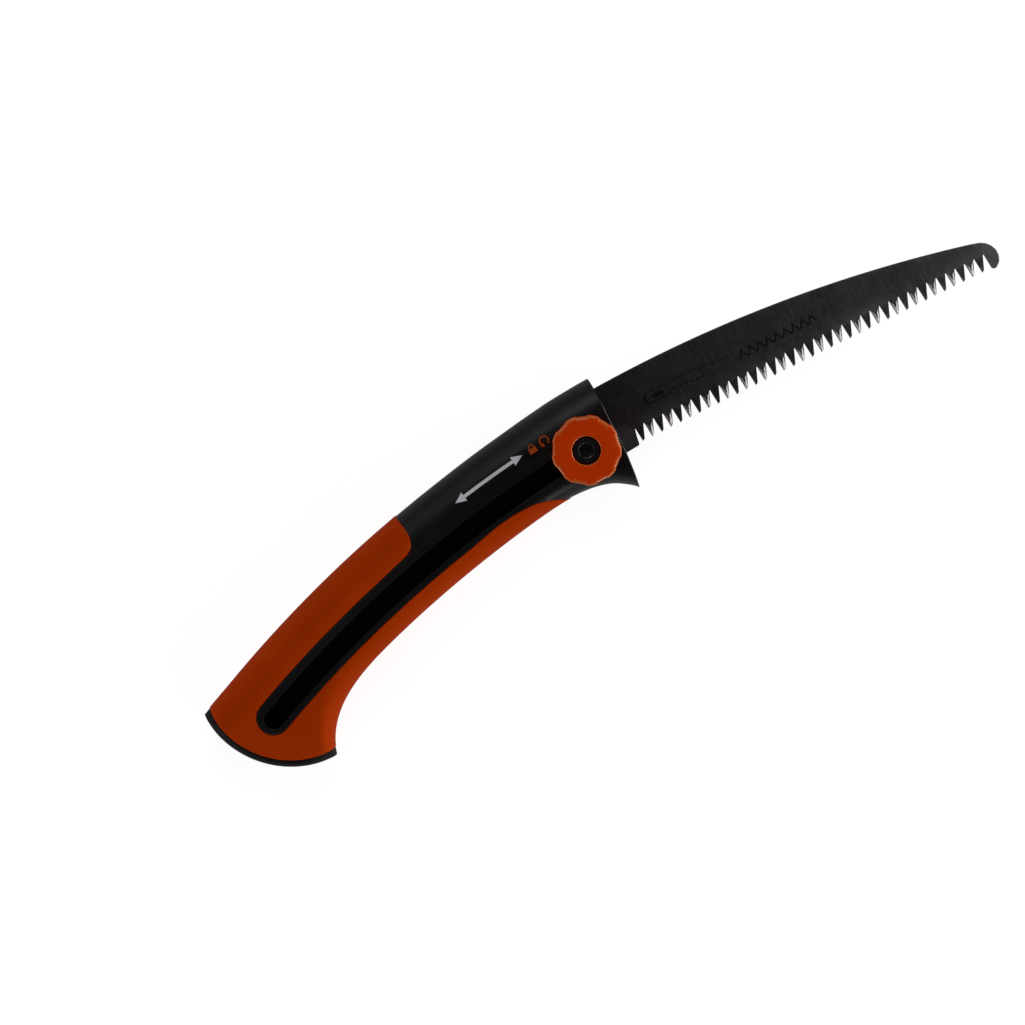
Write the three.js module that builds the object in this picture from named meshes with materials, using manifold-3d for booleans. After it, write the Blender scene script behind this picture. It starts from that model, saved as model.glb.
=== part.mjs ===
// Retractable curved-blade pruning saw, with the blade out.
//
// Frame: millimetres. Origin on the clamp knob's axis, at the left side's flat resting face.
// +X is tangent to the blade track at the knob and points to the blade tip, +Y points to the
// spine, +Z points out of the knob side. The blade's mid plane is z = MID.
//
// The blade, its slot and the handle follow one circular track, whose centre lies R_TRACK
// below the origin. Track coordinates are [angle, offset]: degrees round the track centre,
// positive towards the butt, and distance outwards from the track.

import * as THREE from 'three';
import { mergeVertices } from 'three/addons/utils/BufferGeometryUtils.js';
import Module from 'manifold-3d';

const wasm = await Module();
wasm.setup();

// ---------------------------------------------------------------- driving dimensions
const R_TRACK = 480; // radius of the blade track
const TRAVEL = 19.0; // blade travel round the track, degrees (159 mm)
const HALF = 12; // half thickness of the handle
const MID = HALF; // blade mid plane above the resting face
const KNOB_AXIS = [0, 0];
const BOLT_HOLE_R = 3.2; // bolt hole in the blade, carriage and shoe

const BUTT = [-140.5, -12.6]; // centre of the butt arc
const BUTT_R = 38.6;
const BUTT_SIDES = 60;
const BLADE_T = 1.25;

// z range that clears every piece, for cuts that run right through
const CLEAR_LOW = -5;
const CLEAR_HIGH = 40;

// ---------------------------------------------------------------- outlines and the track
const rad = THREE.MathUtils.degToRad;

// track coordinates to [x, y]
const onTrack = (angle, offset) => [
  -(R_TRACK + offset) * Math.sin(rad(angle)),
  (R_TRACK + offset) * Math.cos(rad(angle)) - R_TRACK,
];
// length along the track to degrees
const trackDegrees = (length) => THREE.MathUtils.radToDeg(length / R_TRACK);

// place(fraction) at count + 1 even fractions from 0 to 1
const steps = (count, place) => Array.from({ length: count + 1 }, (_, i) => place(i / count));

const arc = (from, to, offset, count) =>
  steps(count, (fraction) => onTrack(from + (to - from) * fraction, offset));

// half circle across the track: side 1 bulges to the butt and runs from the finger side to
// the spine side, side -1 bulges to the front and runs back
const roundEnd = (angle, offset, radius, side) => {
  const centre = onTrack(angle, offset);
  const sin = Math.sin(rad(angle));
  const cos = Math.cos(rad(angle));
  return steps(8, (fraction) => {
    const along = radius * Math.sin(Math.PI * fraction) * side;
    const outward = -radius * Math.cos(Math.PI * fraction) * side;
    return [centre[0] - along * cos - outward * sin, centre[1] - along * sin + outward * cos];
  });
};

// round-ended slot centred on the track
const slotOutline = (halfWidth, front, rear, count) => [
  ...roundEnd(rear, 0, halfWidth, 1),
  ...arc(rear, front, halfWidth, count).slice(1, -1),
  ...roundEnd(front, 0, halfWidth, -1),
  ...arc(front, rear, -halfWidth, count).slice(1, -1),
];

const ngon = (centre, radius, sides, turn = 0) => Array.from({ length: sides }, (_, i) => {
  const angle = turn + (2 * Math.PI * i) / sides;
  return [centre[0] + radius * Math.cos(angle), centre[1] + radius * Math.sin(angle)];
});

const buttCircle = (radius) => ngon(BUTT, radius, BUTT_SIDES, Math.PI / BUTT_SIDES);

// a polygon moved inwards by gap along its own normals
const inset = (points, gap) => {
  const count = points.length;
  const area = points.reduce((sum, [x, y], i) => {
    const next = points[(i + 1) % count];
    return sum + x * next[1] - next[0] * y;
  }, 0);
  const inward = (from, to) => {
    const [x, y] = [to[0] - from[0], to[1] - from[1]];
    const scale = Math.sign(area) / Math.hypot(x, y);
    return [-y * scale, x * scale];
  };
  return points.map((point, i) => {
    const before = inward(points[(i + count - 1) % count], point);
    const after = inward(point, points[(i + 1) % count]);
    const scale = gap / (1 + before[0] * after[0] + before[1] * after[1]);
    return point.map((value, axis) => value + scale * (before[axis] + after[axis]));
  });
};

// ---------------------------------------------------------------- solids
// a closed geometry as a solid
const solid = (geometry) => {
  geometry.deleteAttribute('normal');
  geometry.deleteAttribute('uv');
  const merged = mergeVertices(geometry, 1e-4);
  return new wasm.Manifold(new wasm.Mesh({
    numProp: 3,
    vertProperties: new Float32Array(merged.attributes.position.array),
    triVerts: new Uint32Array(merged.index.array),
  }));
};

const solidFromFaces = (points, faces) => {
  const geometry = new THREE.BufferGeometry();
  geometry.setAttribute('position', new THREE.Float32BufferAttribute(points.flat(), 3));
  geometry.setIndex(faces.flat());
  return solid(geometry);
};

// a straight-sided solid over a polygon
const prism = (points, bottom, top) => {
  const shape = new THREE.Shape(points.map(([x, y]) => new THREE.Vector2(x, y)));
  const depth = top - bottom;
  const geometry = new THREE.ExtrudeGeometry(shape, { depth, bevelEnabled: false });
  geometry.translate(0, 0, bottom);
  return solid(geometry);
};
const drum = (centre, radius, bottom, top, sides) =>
  prism(ngon(centre, radius, sides), bottom, top);

// cutters that run right through
const through = (points) => prism(points, CLEAR_LOW, CLEAR_HIGH);
const bore = (centre, radius, sides) => through(ngon(centre, radius, sides));

const cut = (body, ...cutters) => cutters.reduce((rest, cutter) => rest.subtract(cutter), body);

// faces that join each ring to the next; with bands = ringCount the last joins the first
const bandFaces = (ringCount, size, bands) => {
  const faces = [];
  for (let k = 0; k < bands; k++) {
    const near = k * size;
    const far = ((k + 1) % ringCount) * size;
    for (let i = 0; i < size; i++) {
      const j = (i + 1) % size;
      faces.push([near + i, near + j, far + j], [near + i, far + j, far + i]);
    }
  }
  return faces;
};

// a capped solid through rings of equal point count, each ring [[x, y, z], ...]
const loft = (rings) => {
  const size = rings[0].length;
  const lastBase = (rings.length - 1) * size;
  const points = rings.flat();
  const faces = bandFaces(rings.length, size, rings.length - 1);
  const middle = (ring) =>
    [0, 1, 2].map((axis) => ring.reduce((sum, point) => sum + point[axis] / size, 0));
  const firstMiddle = points.push(middle(rings[0])) - 1;
  const lastMiddle = points.push(middle(rings.at(-1))) - 1;
  for (let i = 0; i < size; i++) faces.push([(i + 1) % size, i, firstMiddle]);
  for (let i = 0; i < size; i++) {
    faces.push([lastBase + i, lastBase + ((i + 1) % size), lastMiddle]);
  }
  const body = solidFromFaces(points, faces);
  // rings that turn the other way give an inside-out solid, so its faces are turned over
  return body.volume() < 0 ? solidFromFaces(points, faces.map(([a, b, c]) => [a, c, b])) : body;
};
const stack = (layers) => loft(layers.map(({ points, z }) => points.map(([x, y]) => [x, y, z])));

// ---------------------------------------------------------------- handle skin
const TOP_ROLL = 11.9; // width of the rounded shoulder on the spine side
const LOW_ROLL = 8.3; // width of the rounded shoulder on the finger side
const BUTT_ROLL = 5; // radial width of the butt's rounded rim
const BUTT_FLAT = 6; // half depth of the straight part of the butt's rim
const BUTT_REACH = 14; // half depth of the butt disc, beyond the handle's sides

// spine-side edge, [angle, offset]
const TOP = [
  [-2.6, 22.6], [-0.7, 22.74], [0.4, 22.72], [0.9, 22.57], [1.95, 22.28], [3.03, 22.0],
  [4.1, 21.87], [5.2, 21.7], [6.3, 21.56], [8, 21.5], [19, 21.5], [20.5, 21.8], [23, 22.1],
];
// finger-side edge, [angle, offset]
const LOW = [
  [-2.6, -24.4], [-1.28, -24.2], [-1.18, -23.1], [-1.04, -21.94], [-0.742, -19.95],
  [-0.433, -18.12], [-0.098, -16.64], [0.264, -15.53], [0.642, -14.64], [1.037, -13.96],
  [1.45, -13.51], [1.852, -13.1], [2.3, -12.85], [3.2, -12.8], [5, -12.95], [8, -13.1],
  [12, -13.2], [13.6, -13.3], [14.5, -13.6], [15.4, -14.4], [16.1, -15.6], [16.7, -17.2],
  [17.2, -19.0], [17.6, -20.8], [17.95, -22.9], [18.25, -25.2], [18.6, -28], [23, -28],
];
// front edge from the spine side to the finger side, [x, y]
const FRONT = [
  [13.2, 24], [14.3, 22.4], [14.5, 21.6], [14.5, 17.8], [14.3, 12.8], [13.5, 2.9],
  [13.15, -3.4], [12.6, -9.0], [12.0, -12.8], [11.35, -16.8], [10.5, -20.9], [9.95, -23.3],
  [9.4, -24.2], [8.6, -24.6],
];
// track angles of the skin's cross sections
const STATIONS = [
  -2.4, -1.6, -1.25, -1.04, -0.742, -0.433, -0.098, 0.264, 0.642, 1.037, 1.45, 2.0, 2.7, 3.5,
  4.4, 5.3, 6.2, 7.1, 8.0, 8.9, 9.8, 10.7, 11.6, 12.5, 13.3, 14.0, 14.7, 15.4, 16.1, 16.7,
  17.2, 17.6, 17.95, 18.25, 18.6, 19.4, 20.2, 21.0, 21.8, 22.6,
];
const QUARTER = steps(4, (fraction) => (Math.PI / 2) * fraction);

// offset of an edge table at an angle inside its range
const edgeAt = (table, angle) => {
  const next = table.findIndex((row) => angle <= row[0]);
  const [angle0, offset0] = table[next - 1];
  const [angle1, offset1] = table[next];
  return offset0 + ((angle - angle0) / (angle1 - angle0)) * (offset1 - offset0);
};

// cross section with elliptical shoulders, flat between them, inset by depth
const skinRing = (angle, depth) => {
  const top = edgeAt(TOP, angle) - depth;
  const low = edgeAt(LOW, angle) + depth;
  const height = (turn) => (HALF - depth) * Math.sin(turn);
  const upper = [
    ...QUARTER.map((turn) => [top - (TOP_ROLL - depth) * (1 - Math.cos(turn)), height(turn)]),
    ...QUARTER.toReversed()
      .map((turn) => [low + (LOW_ROLL - depth) * (1 - Math.cos(turn)), height(turn)]),
  ];
  const lower = upper.slice(1, -1).reverse().map(([offset, z]) => [offset, -z]);
  return [...upper, ...lower].map(([offset, z]) => [...onTrack(angle, offset), MID + z]);
};

// region kept by the front edge and the rounded butt
const handleRegion = (depth) => {
  const body = through([...FRONT, [6, -70], [BUTT[0], -70], [BUTT[0], 40], [6, 40]]);
  const innerR = BUTT_R - depth - BUTT_ROLL;
  const profile = [
    { height: BUTT_REACH, radius: innerR },
    ...QUARTER.map((turn) => ({
      height: BUTT_FLAT + (HALF - depth - BUTT_FLAT) * Math.cos(turn),
      radius: innerR + BUTT_ROLL * Math.sin(turn),
    })),
  ];
  const layer = ({ height, radius }, side) =>
    ({ z: MID + side * height, points: buttCircle(radius) });
  return body.add(stack([
    ...profile.map((row) => layer(row, -1)),
    ...profile.toReversed().map((row) => layer(row, 1)),
  ]));
};

// the whole handle body, inset by depth
const skin = (depth) =>
  loft(STATIONS.map((angle) => skinRing(angle, depth))).intersect(handleRegion(depth));

const outer = skin(0);

// ---------------------------------------------------------------- carriage channel
const SLIT_HALF = 1.2; // half width of the blade channel
const CHAN_HALF = 9.0; // half width of the carriage channel across the track
const CHAN_Z = 9.4; // half depth of the carriage channel
const CAR_HALF = 8.5; // half width of the carriage
const CAR_Z = 9.1; // half depth of the carriage
const CAR_REAR = 11; // carriage length behind the bolt
const CAR_FRONT = 9.5; // carriage length in front of the bolt
const BEVEL_OFFSET = -6.0; // offset where the bevelled finger-side edges start
const BEVEL_SLOPE = 0.8; // depth lost per mm of offset beyond it
const BAND_TOP = 15; // spine-side offset of the bevelled band, beyond the channel
const BAND_Z = 14; // half depth of the bevelled band, beyond the channel

// band along the track whose two finger-side edges are bevelled to clear the handle's
// shoulder, moved inwards by gap
const bevelBand = (gap, from, to, count) => {
  const shift = gap * Math.hypot(1, BEVEL_SLOPE);
  const sideOffset = BEVEL_OFFSET + (BAND_Z - CHAN_Z + shift) / BEVEL_SLOPE;
  const middleOffset = BEVEL_OFFSET - (CHAN_Z - shift) / BEVEL_SLOPE;
  const section = [
    [BAND_TOP, -BAND_Z], [BAND_TOP, BAND_Z], [sideOffset, BAND_Z], [middleOffset, 0],
    [sideOffset, -BAND_Z],
  ];
  return loft(steps(count, (fraction) => section.map(([offset, z]) =>
    [...onTrack(from + (to - from) * fraction, offset), MID + z])));
};

const bladeChannel = () => prism(
  [...arc(-4, 18.35, 18.9, 34), ...arc(18.35, -4, -10.2, 34)],
  MID - SLIT_HALF, MID + SLIT_HALF,
);

const carriageChannel = () => {
  const front = -trackDegrees(CAR_FRONT + 0.5);
  const rear = TRAVEL + trackDegrees(CAR_REAR + 0.4);
  const points = [
    ...arc(front, rear, CHAN_HALF, 32),
    onTrack(rear, -5.2),
    onTrack(rear - trackDegrees(3.9), -CHAN_HALF),
    ...arc(rear - trackDegrees(4.5), front, -CHAN_HALF, 32),
  ];
  return prism(points, MID - CHAN_Z, MID + CHAN_Z).intersect(bevelBand(0, -2, 22, 34));
};

const knobSlot = () => prism(slotOutline(3.75, -trackDegrees(2.9), TRAVEL, 30), MID + 8, MID + 14);

// ---------------------------------------------------------------- shell screws
// [x, y]: one in the guard, three round the butt
const SCREWS = [[6.5, -14.6], onTrack(16.9, -13.0), onTrack(19.2, -15.5), onTrack(20.0, 15.0)];
const CAP_SCREWS = SCREWS.slice(2); // these pass through the end cap's lugs
const SCREW_SEAT = 5.5; // top of the heads, which face the resting side
const SCREW_TIP = 19.0;
const SCREW_HOLE_R = 1.75; // in the left shell and the end cap

const shellScrew = (centre) => {
  const head = drum(centre, 2.7, SCREW_SEAT - 2.0, SCREW_SEAT, 16);
  const shank = drum(centre, 1.4, SCREW_SEAT - 0.5, SCREW_TIP, 14);
  const hexRecess = drum(centre, 1.25, CLEAR_LOW, SCREW_SEAT - 0.8, 6);
  return head.add(shank).subtract(hexRecess);
};

// ---------------------------------------------------------------- end cap with two lugs
const CAP_R = BUTT_R - 2.5; // inner radius of the end cap band
const CAP_GAP = 0.3; // gap between the shells and the cap
const CAP_SECTOR = [BUTT, [-150, 30], [-200, 30], [-200, -80], [-141.5, -80], [-141.5, -46]];
const LUG_HALF = 3.6; // half width of a lug and radius of its round end
const LUG_Z = 2; // half depth of a lug
const LUG_FAR = 37.2; // distance from the butt centre to the lug's root, inside the band

const lug = (centre, gap) => {
  const [x, y] = [centre[0] - BUTT[0], centre[1] - BUTT[1]];
  const near = Math.hypot(x, y);
  const [ux, uy] = [x / near, y / near];
  const half = LUG_HALF + gap;
  const arm = [[near, half], [near, -half], [LUG_FAR, -half], [LUG_FAR, half]].map(
    ([out, across]) => [BUTT[0] + ux * out - uy * across, BUTT[1] + uy * out + ux * across],
  );
  const [bottom, top] = [MID - LUG_Z - gap, MID + LUG_Z + gap];
  return prism(arm, bottom, top).add(drum(centre, half, bottom, top, 16));
};
const lugs = (gap) => lug(CAP_SCREWS[0], gap).add(lug(CAP_SCREWS[1], gap));

const endCap = () => {
  const band = cut(outer.intersect(through(CAP_SECTOR)), through(buttCircle(CAP_R)));
  return cut(band.add(lugs(0)), ...CAP_SCREWS.map((centre) => bore(centre, SCREW_HOLE_R, 14)));
};

// ---------------------------------------------------------------- shells and grip pads
const PAD_T = 1.2; // grip pad thickness
const PAD_SEAT = 1.4; // depth of the seat under a pad
const PAD_GAP = 0.3; // gap round a pad's edge

// plan of the pads and their seats, the same on both sides, [x, y]
const PAD_OUTLINE = [
  // edge from the front along the finger side of the track
  [-14.6, -13.9], [-16.46, -13.27], [-18.56, -11.62], [-22.31, -9.33], [-26.55, -7.9],
  [-30.07, -7.34], [-36.94, -7.2], [-45.76, -7.76],
  ...arc(6.9, 18.2, -5.75, 14),
  // round end at the butt
  ...roundEnd(18.96, 0.5, 6.45, 1).slice(1, -1),
  // back along the spine side of the track, then out over the spine
  ...arc(18.2, 10.6, 7.0, 9),
  [-83.36, 0.19], [-80.46, 0.72], [-78.11, 1.63], [-76.16, 3.55], [-75.33, 6.16],
  [-75.26, 9.23], [-75.87, 12.44], [-76.6, 16.4], [-76.9, 27],
  // round the butt and the finger side, clear of the handle
  [-190, 0], [-190, -60], [-130, -60], [-116, -38], [-60, -30], [-14.6, -20],
];

const AROUND_HANDLE = [[-220, -90], [60, -90], [60, 60], [-220, 60]];
const rightHalf = prism(AROUND_HANDLE, MID, CLEAR_HIGH);
const leftHalf = prism(AROUND_HANDLE, CLEAR_LOW, MID);

// the handle without its end cap
const AHEAD_OF_CAP = [[40, -90], [40, 60], [BUTT[0] + 8, 60], [BUTT[0] + 8, -38], [-134, -90]];
const handleBody = outer.intersect(
  through(buttCircle(CAP_R - CAP_GAP)).add(through(AHEAD_OF_CAP)),
);

const shell = cut(
  handleBody,
  through(PAD_OUTLINE).subtract(skin(PAD_SEAT)),
  bladeChannel(),
  carriageChannel(),
  lugs(CAP_GAP),
);
const rightShell = () => cut(
  shell.intersect(rightHalf),
  knobSlot(),
  ...SCREWS.map((centre) => drum(centre, 1.6, MID - 1, SCREW_TIP + 0.4, 14)),
);
const leftShell = () => cut(
  shell.intersect(leftHalf),
  ...SCREWS.map((centre) => bore(centre, SCREW_HOLE_R, 14)),
  ...SCREWS.map((centre) => drum(centre, 3.0, CLEAR_LOW, SCREW_SEAT, 18)),
);

const pads = cut(handleBody.intersect(through(inset(PAD_OUTLINE, PAD_GAP))), skin(PAD_T));
const leftGrip = () => cut(
  pads.intersect(leftHalf),
  ...SCREWS.map((centre) => drum(centre, 3.2, CLEAR_LOW, 8, 18)),
);

// ---------------------------------------------------------------- blade
const TEETH = 38;
const PITCH = 4.021; // tooth pitch along X
const FIRST_TOOTH = [20.19, -9.27]; // first tooth tip
const TOOTH_SLOPE = -0.0876; // slope of the tooth tip line
const SPINE_CENTRE = [-7.75, -527.8];
const SPINE_R = 546.2;
const RIVETS = [[-7.0, 5.0], [-7.0, -4.0], [6.8, -4.05]];

// outlines, [x, y]
const TANG_LOW = [
  [-10.4, -3.6], [-7.6, -7.4], [8.6, -7.6], [9.6, -9.8], [18.4, -9.8], [19.02, -6.75],
  [20.12, -4.0],
];
const TANG_TOP = [[8.6, 7.4], [-7.2, 7.4], [-10.4, 4.6]];
const BLADE_TIP = [
  [170.9, -22.9], [172.01, -22.21], [173.55, -20.44], [174.1, -18.07], [173.69, -15.78],
  [172.65, -13.79], [170.98, -12.1], [168.56, -10.89],
];
// from a tooth's tip, [x, y]: the tooth's edge, then the gullet before the next tooth
const TOOTH = [[0, 0], [1.06, 0.48]];
const GULLET = [[PITCH - 0.42, 5.75], [PITCH - 0.06, 5.9]];

const spineAt = (x) =>
  [x, SPINE_CENTRE[1] + Math.sqrt(SPINE_R ** 2 - (x - SPINE_CENTRE[0]) ** 2)];

const blade = () => {
  const points = [...TANG_LOW];
  for (let i = 0; i < TEETH; i++) {
    const x = FIRST_TOOTH[0] + PITCH * i;
    const y = FIRST_TOOTH[1] + TOOTH_SLOPE * PITCH * i;
    const profile = i < TEETH - 1 ? [...TOOTH, ...GULLET] : TOOTH;
    points.push(...profile.map(([dx, dy]) => [x + dx, y + dy]));
  }
  points.push(...BLADE_TIP);
  for (let x = 162; x > 12; x -= 9.4) points.push(spineAt(x));
  points.push(spineAt(9.6), ...TANG_TOP);
  return cut(
    prism(points, MID - BLADE_T / 2, MID + BLADE_T / 2),
    bore(KNOB_AXIS, BOLT_HOLE_R, 24),
    ...RIVETS.map((centre) => bore(centre, 1.65, 14)),
  );
};

// ---------------------------------------------------------------- carriage on the blade's tang
const RIVET_SEAT = 7.6; // height of the rivet head seats from the mid plane
const NUT_TOP = MID - 2.2;
const NUT_T = 4.2;

const CARRIAGE_OUTLINE = [
  ...arc(-trackDegrees(CAR_FRONT), trackDegrees(CAR_REAR - 1.5), CAR_HALF, 4),
  onTrack(trackDegrees(CAR_REAR), CAR_HALF - 1.5),
  onTrack(trackDegrees(CAR_REAR), -4.8),
  onTrack(trackDegrees(CAR_REAR - 4), -CAR_HALF),
  ...arc(trackDegrees(CAR_REAR - 5), -trackDegrees(CAR_FRONT), -CAR_HALF, 3),
];

// half of the carriage between two heights, with rivet head seats over another height range
const carriageHalf = (bottom, top, seatBottom, seatTop) => cut(
  prism(CARRIAGE_OUTLINE, bottom, top).intersect(bevelBand(0.3, -3, 3, 8)),
  bore(KNOB_AXIS, BOLT_HOLE_R, 24),
  ...RIVETS.map((centre) => bore(centre, 1.7, 14)),
  ...RIVETS.map((centre) => drum(centre, 2.25, seatBottom, seatTop, 16)),
);
const carriageRight = () =>
  carriageHalf(MID + BLADE_T / 2, MID + CAR_Z, MID + RIVET_SEAT, CLEAR_HIGH);
const carriageLeft = () => cut(
  carriageHalf(MID - CAR_Z, MID - BLADE_T / 2, CLEAR_LOW, MID - RIVET_SEAT),
  drum(KNOB_AXIS, 5.95, CLEAR_LOW, NUT_TOP, 6),
);

const tangRivet = (centre) => drum(centre, 1.5, MID - 8.4, MID + 8.4, 14)
  .add(drum(centre, 2.1, MID - 8.8, MID - RIVET_SEAT, 16))
  .add(drum(centre, 2.1, MID + RIVET_SEAT, MID + 8.8, 16));

const carriageNut = () =>
  cut(drum(KNOB_AXIS, 5.75, NUT_TOP - NUT_T, NUT_TOP, 6), bore(KNOB_AXIS, 3.15, 24));

// ---------------------------------------------------------------- slide shoe
// a key in the slot under a flange on the outside of the shell
const SHOE_Z = MID + HALF + 0.02; // underside of the flange
const FLANGE = [
  [7.6, 5.0], [-7.6, 5.0], [-8.4, 4.2], [-8.4, -4.2], [-7.6, -5.0], [7.6, -5.0], [8.4, -4.2],
  [8.4, 4.2],
];
const slideShoe = () => {
  const key = prism(slotOutline(3.5, -trackDegrees(2.6), 0, 2), MID + CAR_Z, SHOE_Z + 0.3);
  const flange = prism(FLANGE, SHOE_Z, SHOE_Z + 1.0);
  return cut(key.add(flange), bore(KNOB_AXIS, BOLT_HOLE_R, 24));
};

// ---------------------------------------------------------------- wave spring and washer
const WAVE_Z = 25.45; // mean height of the spring
const WAVE_HEIGHT = 0.22; // rise and fall of each wave
const WAVE_COUNT = 3;
const SPRING_SIDES = 36;
const WASHER_Z = 25.9;
const WASHER_TOP = WASHER_Z + 1.0;

// a flat ring bent into waves
const waveSpring = () => {
  // section corners, [radius, height]
  const rings = [[3.6, -0.15], [7.5, -0.15], [7.5, 0.15], [3.6, 0.15]].map(([radius, height]) =>
    Array.from({ length: SPRING_SIDES }, (_, i) => {
      const angle = (2 * Math.PI * i) / SPRING_SIDES;
      const z = WAVE_Z + WAVE_HEIGHT * Math.sin(WAVE_COUNT * angle) + height;
      return [radius * Math.cos(angle), radius * Math.sin(angle), z];
    }));
  return solidFromFaces(rings.flat(), bandFaces(rings.length, SPRING_SIDES, rings.length));
};

const thrustWasher = () =>
  cut(drum(KNOB_AXIS, 9.0, WASHER_Z, WASHER_TOP, 32), bore(KNOB_AXIS, 3.4, 24));

// ---------------------------------------------------------------- knob, bolt and clip
const KNOB_R = 13.4;
const LOBES = 9;
const KNOB_TURN = rad(-33.4);
const KNOB_BOTTOM = 24.6;
const KNOB_TOP = 34.0;
const WEB_BOTTOM = WASHER_TOP + 0.05; // the web lies between the knob's two recesses
const WEB_TOP = 28.2;
const CLIP_Z = 3.35;
const CLIP_TOP = CLIP_Z + 0.6;
const GROOVE_GAP = 0.05; // gap above and below the clip in the bolt's groove

// one lobe, [share of the lobe's angle, dip below KNOB_R]: a flat top, a small step each side
// and a shallow flute between lobes
const LOBE = [
  [-0.5, 0.7], [-0.38, 0.58], [-0.25, 0.3], [-0.22, 0], [0, 0], [0.22, 0], [0.25, 0.3],
  [0.38, 0.58],
];
// knob outline at each height, [z, inset]
const KNOB_LAYERS = [
  [KNOB_BOTTOM, 0.5], [KNOB_BOTTOM + 0.5, 0], [KNOB_TOP - 1.6, 0], [KNOB_TOP - 0.6, 0.5],
  [KNOB_TOP, 1.5],
];

const knobOutline = (depth) => Array.from({ length: LOBES }, (_, k) =>
  LOBE.map(([share, dip]) => {
    const angle = (k + share) * ((2 * Math.PI) / LOBES) + KNOB_TURN;
    const radius = KNOB_R - dip - depth;
    return [radius * Math.cos(angle), radius * Math.sin(angle)];
  })).flat();

const knob = () => cut(
  stack(KNOB_LAYERS.map(([z, depth]) => ({ z, points: knobOutline(depth) }))),
  drum(KNOB_AXIS, 10.2, CLEAR_LOW, WEB_BOTTOM, 36),
  bore(KNOB_AXIS, 3.1, 24),
  drum(KNOB_AXIS, 5.5, WEB_TOP, CLEAR_HIGH, 36),
);

const clampBolt = () => {
  const head = drum(KNOB_AXIS, 5.0, WEB_TOP, WEB_TOP + 4.5, 32);
  const shank = drum(KNOB_AXIS, 2.9, 2.7, WEB_TOP + 1, 24);
  const socketR = 2.5 / Math.cos(Math.PI / 6); // across corners, from 5 mm across flats
  const groove = cut(
    drum(KNOB_AXIS, 4, CLIP_Z - GROOVE_GAP, CLIP_TOP + GROOVE_GAP, 24),
    bore(KNOB_AXIS, 2.2, 24),
  );
  return cut(head.add(shank), drum(KNOB_AXIS, socketR, WEB_TOP + 1.8, CLEAR_HIGH, 6), groove);
};

// a flat ring open towards +X
const retainingClip = () => cut(
  drum(KNOB_AXIS, 4.6, CLIP_Z, CLIP_TOP, 28),
  bore(KNOB_AXIS, 2.35, 24),
  through([[0, -1.7], [8, -1.7], [8, 1.7], [0, 1.7]]),
);

// ---------------------------------------------------------------- materials and assembly
const BLACK = { color: 0x1b1a1b, roughness: 0.42, metalness: 0 };
const GRIP_ORANGE = { color: 0xe0590c, roughness: 0.7, metalness: 0 };
const KNOB_ORANGE = { color: 0xe8600a, roughness: 0.5, metalness: 0 };
const STEEL = { color: 0x8d9093, roughness: 0.35, metalness: 1 };
const DARK_STEEL = { color: 0x222224, roughness: 0.45, metalness: 1 };
const CHROME = { color: 0x6f7072, roughness: 0.28, metalness: 1 };

const scene = new THREE.Group();

const put = (name, body, finish) => {
  const { vertProperties, triVerts } = body.getMesh();
  const geometry = new THREE.BufferGeometry();
  geometry.setAttribute('position', new THREE.Float32BufferAttribute(vertProperties, 3));
  geometry.setIndex(new THREE.Uint32BufferAttribute(triVerts, 1));
  geometry.computeVertexNormals();
  const mesh = new THREE.Mesh(geometry, new THREE.MeshStandardMaterial(finish));
  mesh.name = name;
  scene.add(mesh);
};

put('right_shell', rightShell(), BLACK);
put('left_shell', leftShell(), BLACK);
put('right_grip', pads.intersect(rightHalf), GRIP_ORANGE);
put('left_grip', leftGrip(), GRIP_ORANGE);
put('end_cap', endCap(), BLACK);
SCREWS.forEach((centre, i) => put(`shell_screw_${i + 1}`, shellScrew(centre), STEEL));
put('blade', blade(), CHROME);
put('carriage_right', carriageRight(), BLACK);
put('carriage_left', carriageLeft(), BLACK);
RIVETS.forEach((centre, i) => put(`tang_rivet_${i + 1}`, tangRivet(centre), STEEL));
put('carriage_nut', carriageNut(), STEEL);
put('slide_shoe', slideShoe(), BLACK);
put('wave_spring', waveSpring(), STEEL);
put('thrust_washer', thrustWasher(), STEEL);
put('knob', knob(), KNOB_ORANGE);
put('clamp_bolt', clampBolt(), DARK_STEEL);
put('retaining_clip', retainingClip(), STEEL);

export default scene;
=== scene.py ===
"""A hand saw whose blade carriage slides along an arc in the handle and is held by a clamp knob.

Sizes are in mm and become metres in mesh_object. The saw lies flat: the blade points to +x with
its teeth towards -y, the butt of the handle is at -x, and the knob's axis is x = y = 0. The right
side faces up (+z), and MID_Z is the plane between the two halves.

Much of the handle is drawn in track coordinates: an angle in degrees about (0, -TRACK_R), growing
from +y towards -x, and an offset in mm outwards from the track.
"""
import math

import bpy
import numpy as np
from mathutils import Matrix, Vector
from mathutils.geometry import delaunay_2d_cdt


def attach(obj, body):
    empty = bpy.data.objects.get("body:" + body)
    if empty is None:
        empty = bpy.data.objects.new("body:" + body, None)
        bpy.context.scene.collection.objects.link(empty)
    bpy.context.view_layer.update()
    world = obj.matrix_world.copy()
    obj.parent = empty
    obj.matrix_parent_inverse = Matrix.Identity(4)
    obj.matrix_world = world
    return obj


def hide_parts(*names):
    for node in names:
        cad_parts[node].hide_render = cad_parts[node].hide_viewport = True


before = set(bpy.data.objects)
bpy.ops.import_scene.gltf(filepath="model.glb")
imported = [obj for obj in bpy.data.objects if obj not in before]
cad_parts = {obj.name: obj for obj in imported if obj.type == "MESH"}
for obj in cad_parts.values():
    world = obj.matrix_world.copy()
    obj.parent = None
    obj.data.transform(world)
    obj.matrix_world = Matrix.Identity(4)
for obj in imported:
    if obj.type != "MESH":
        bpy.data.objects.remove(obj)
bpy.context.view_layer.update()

MM = 0.001
HALF_T = 12.0                       # half the handle's thickness
MID_Z = HALF_T
TRACK_R = 480.0
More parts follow.
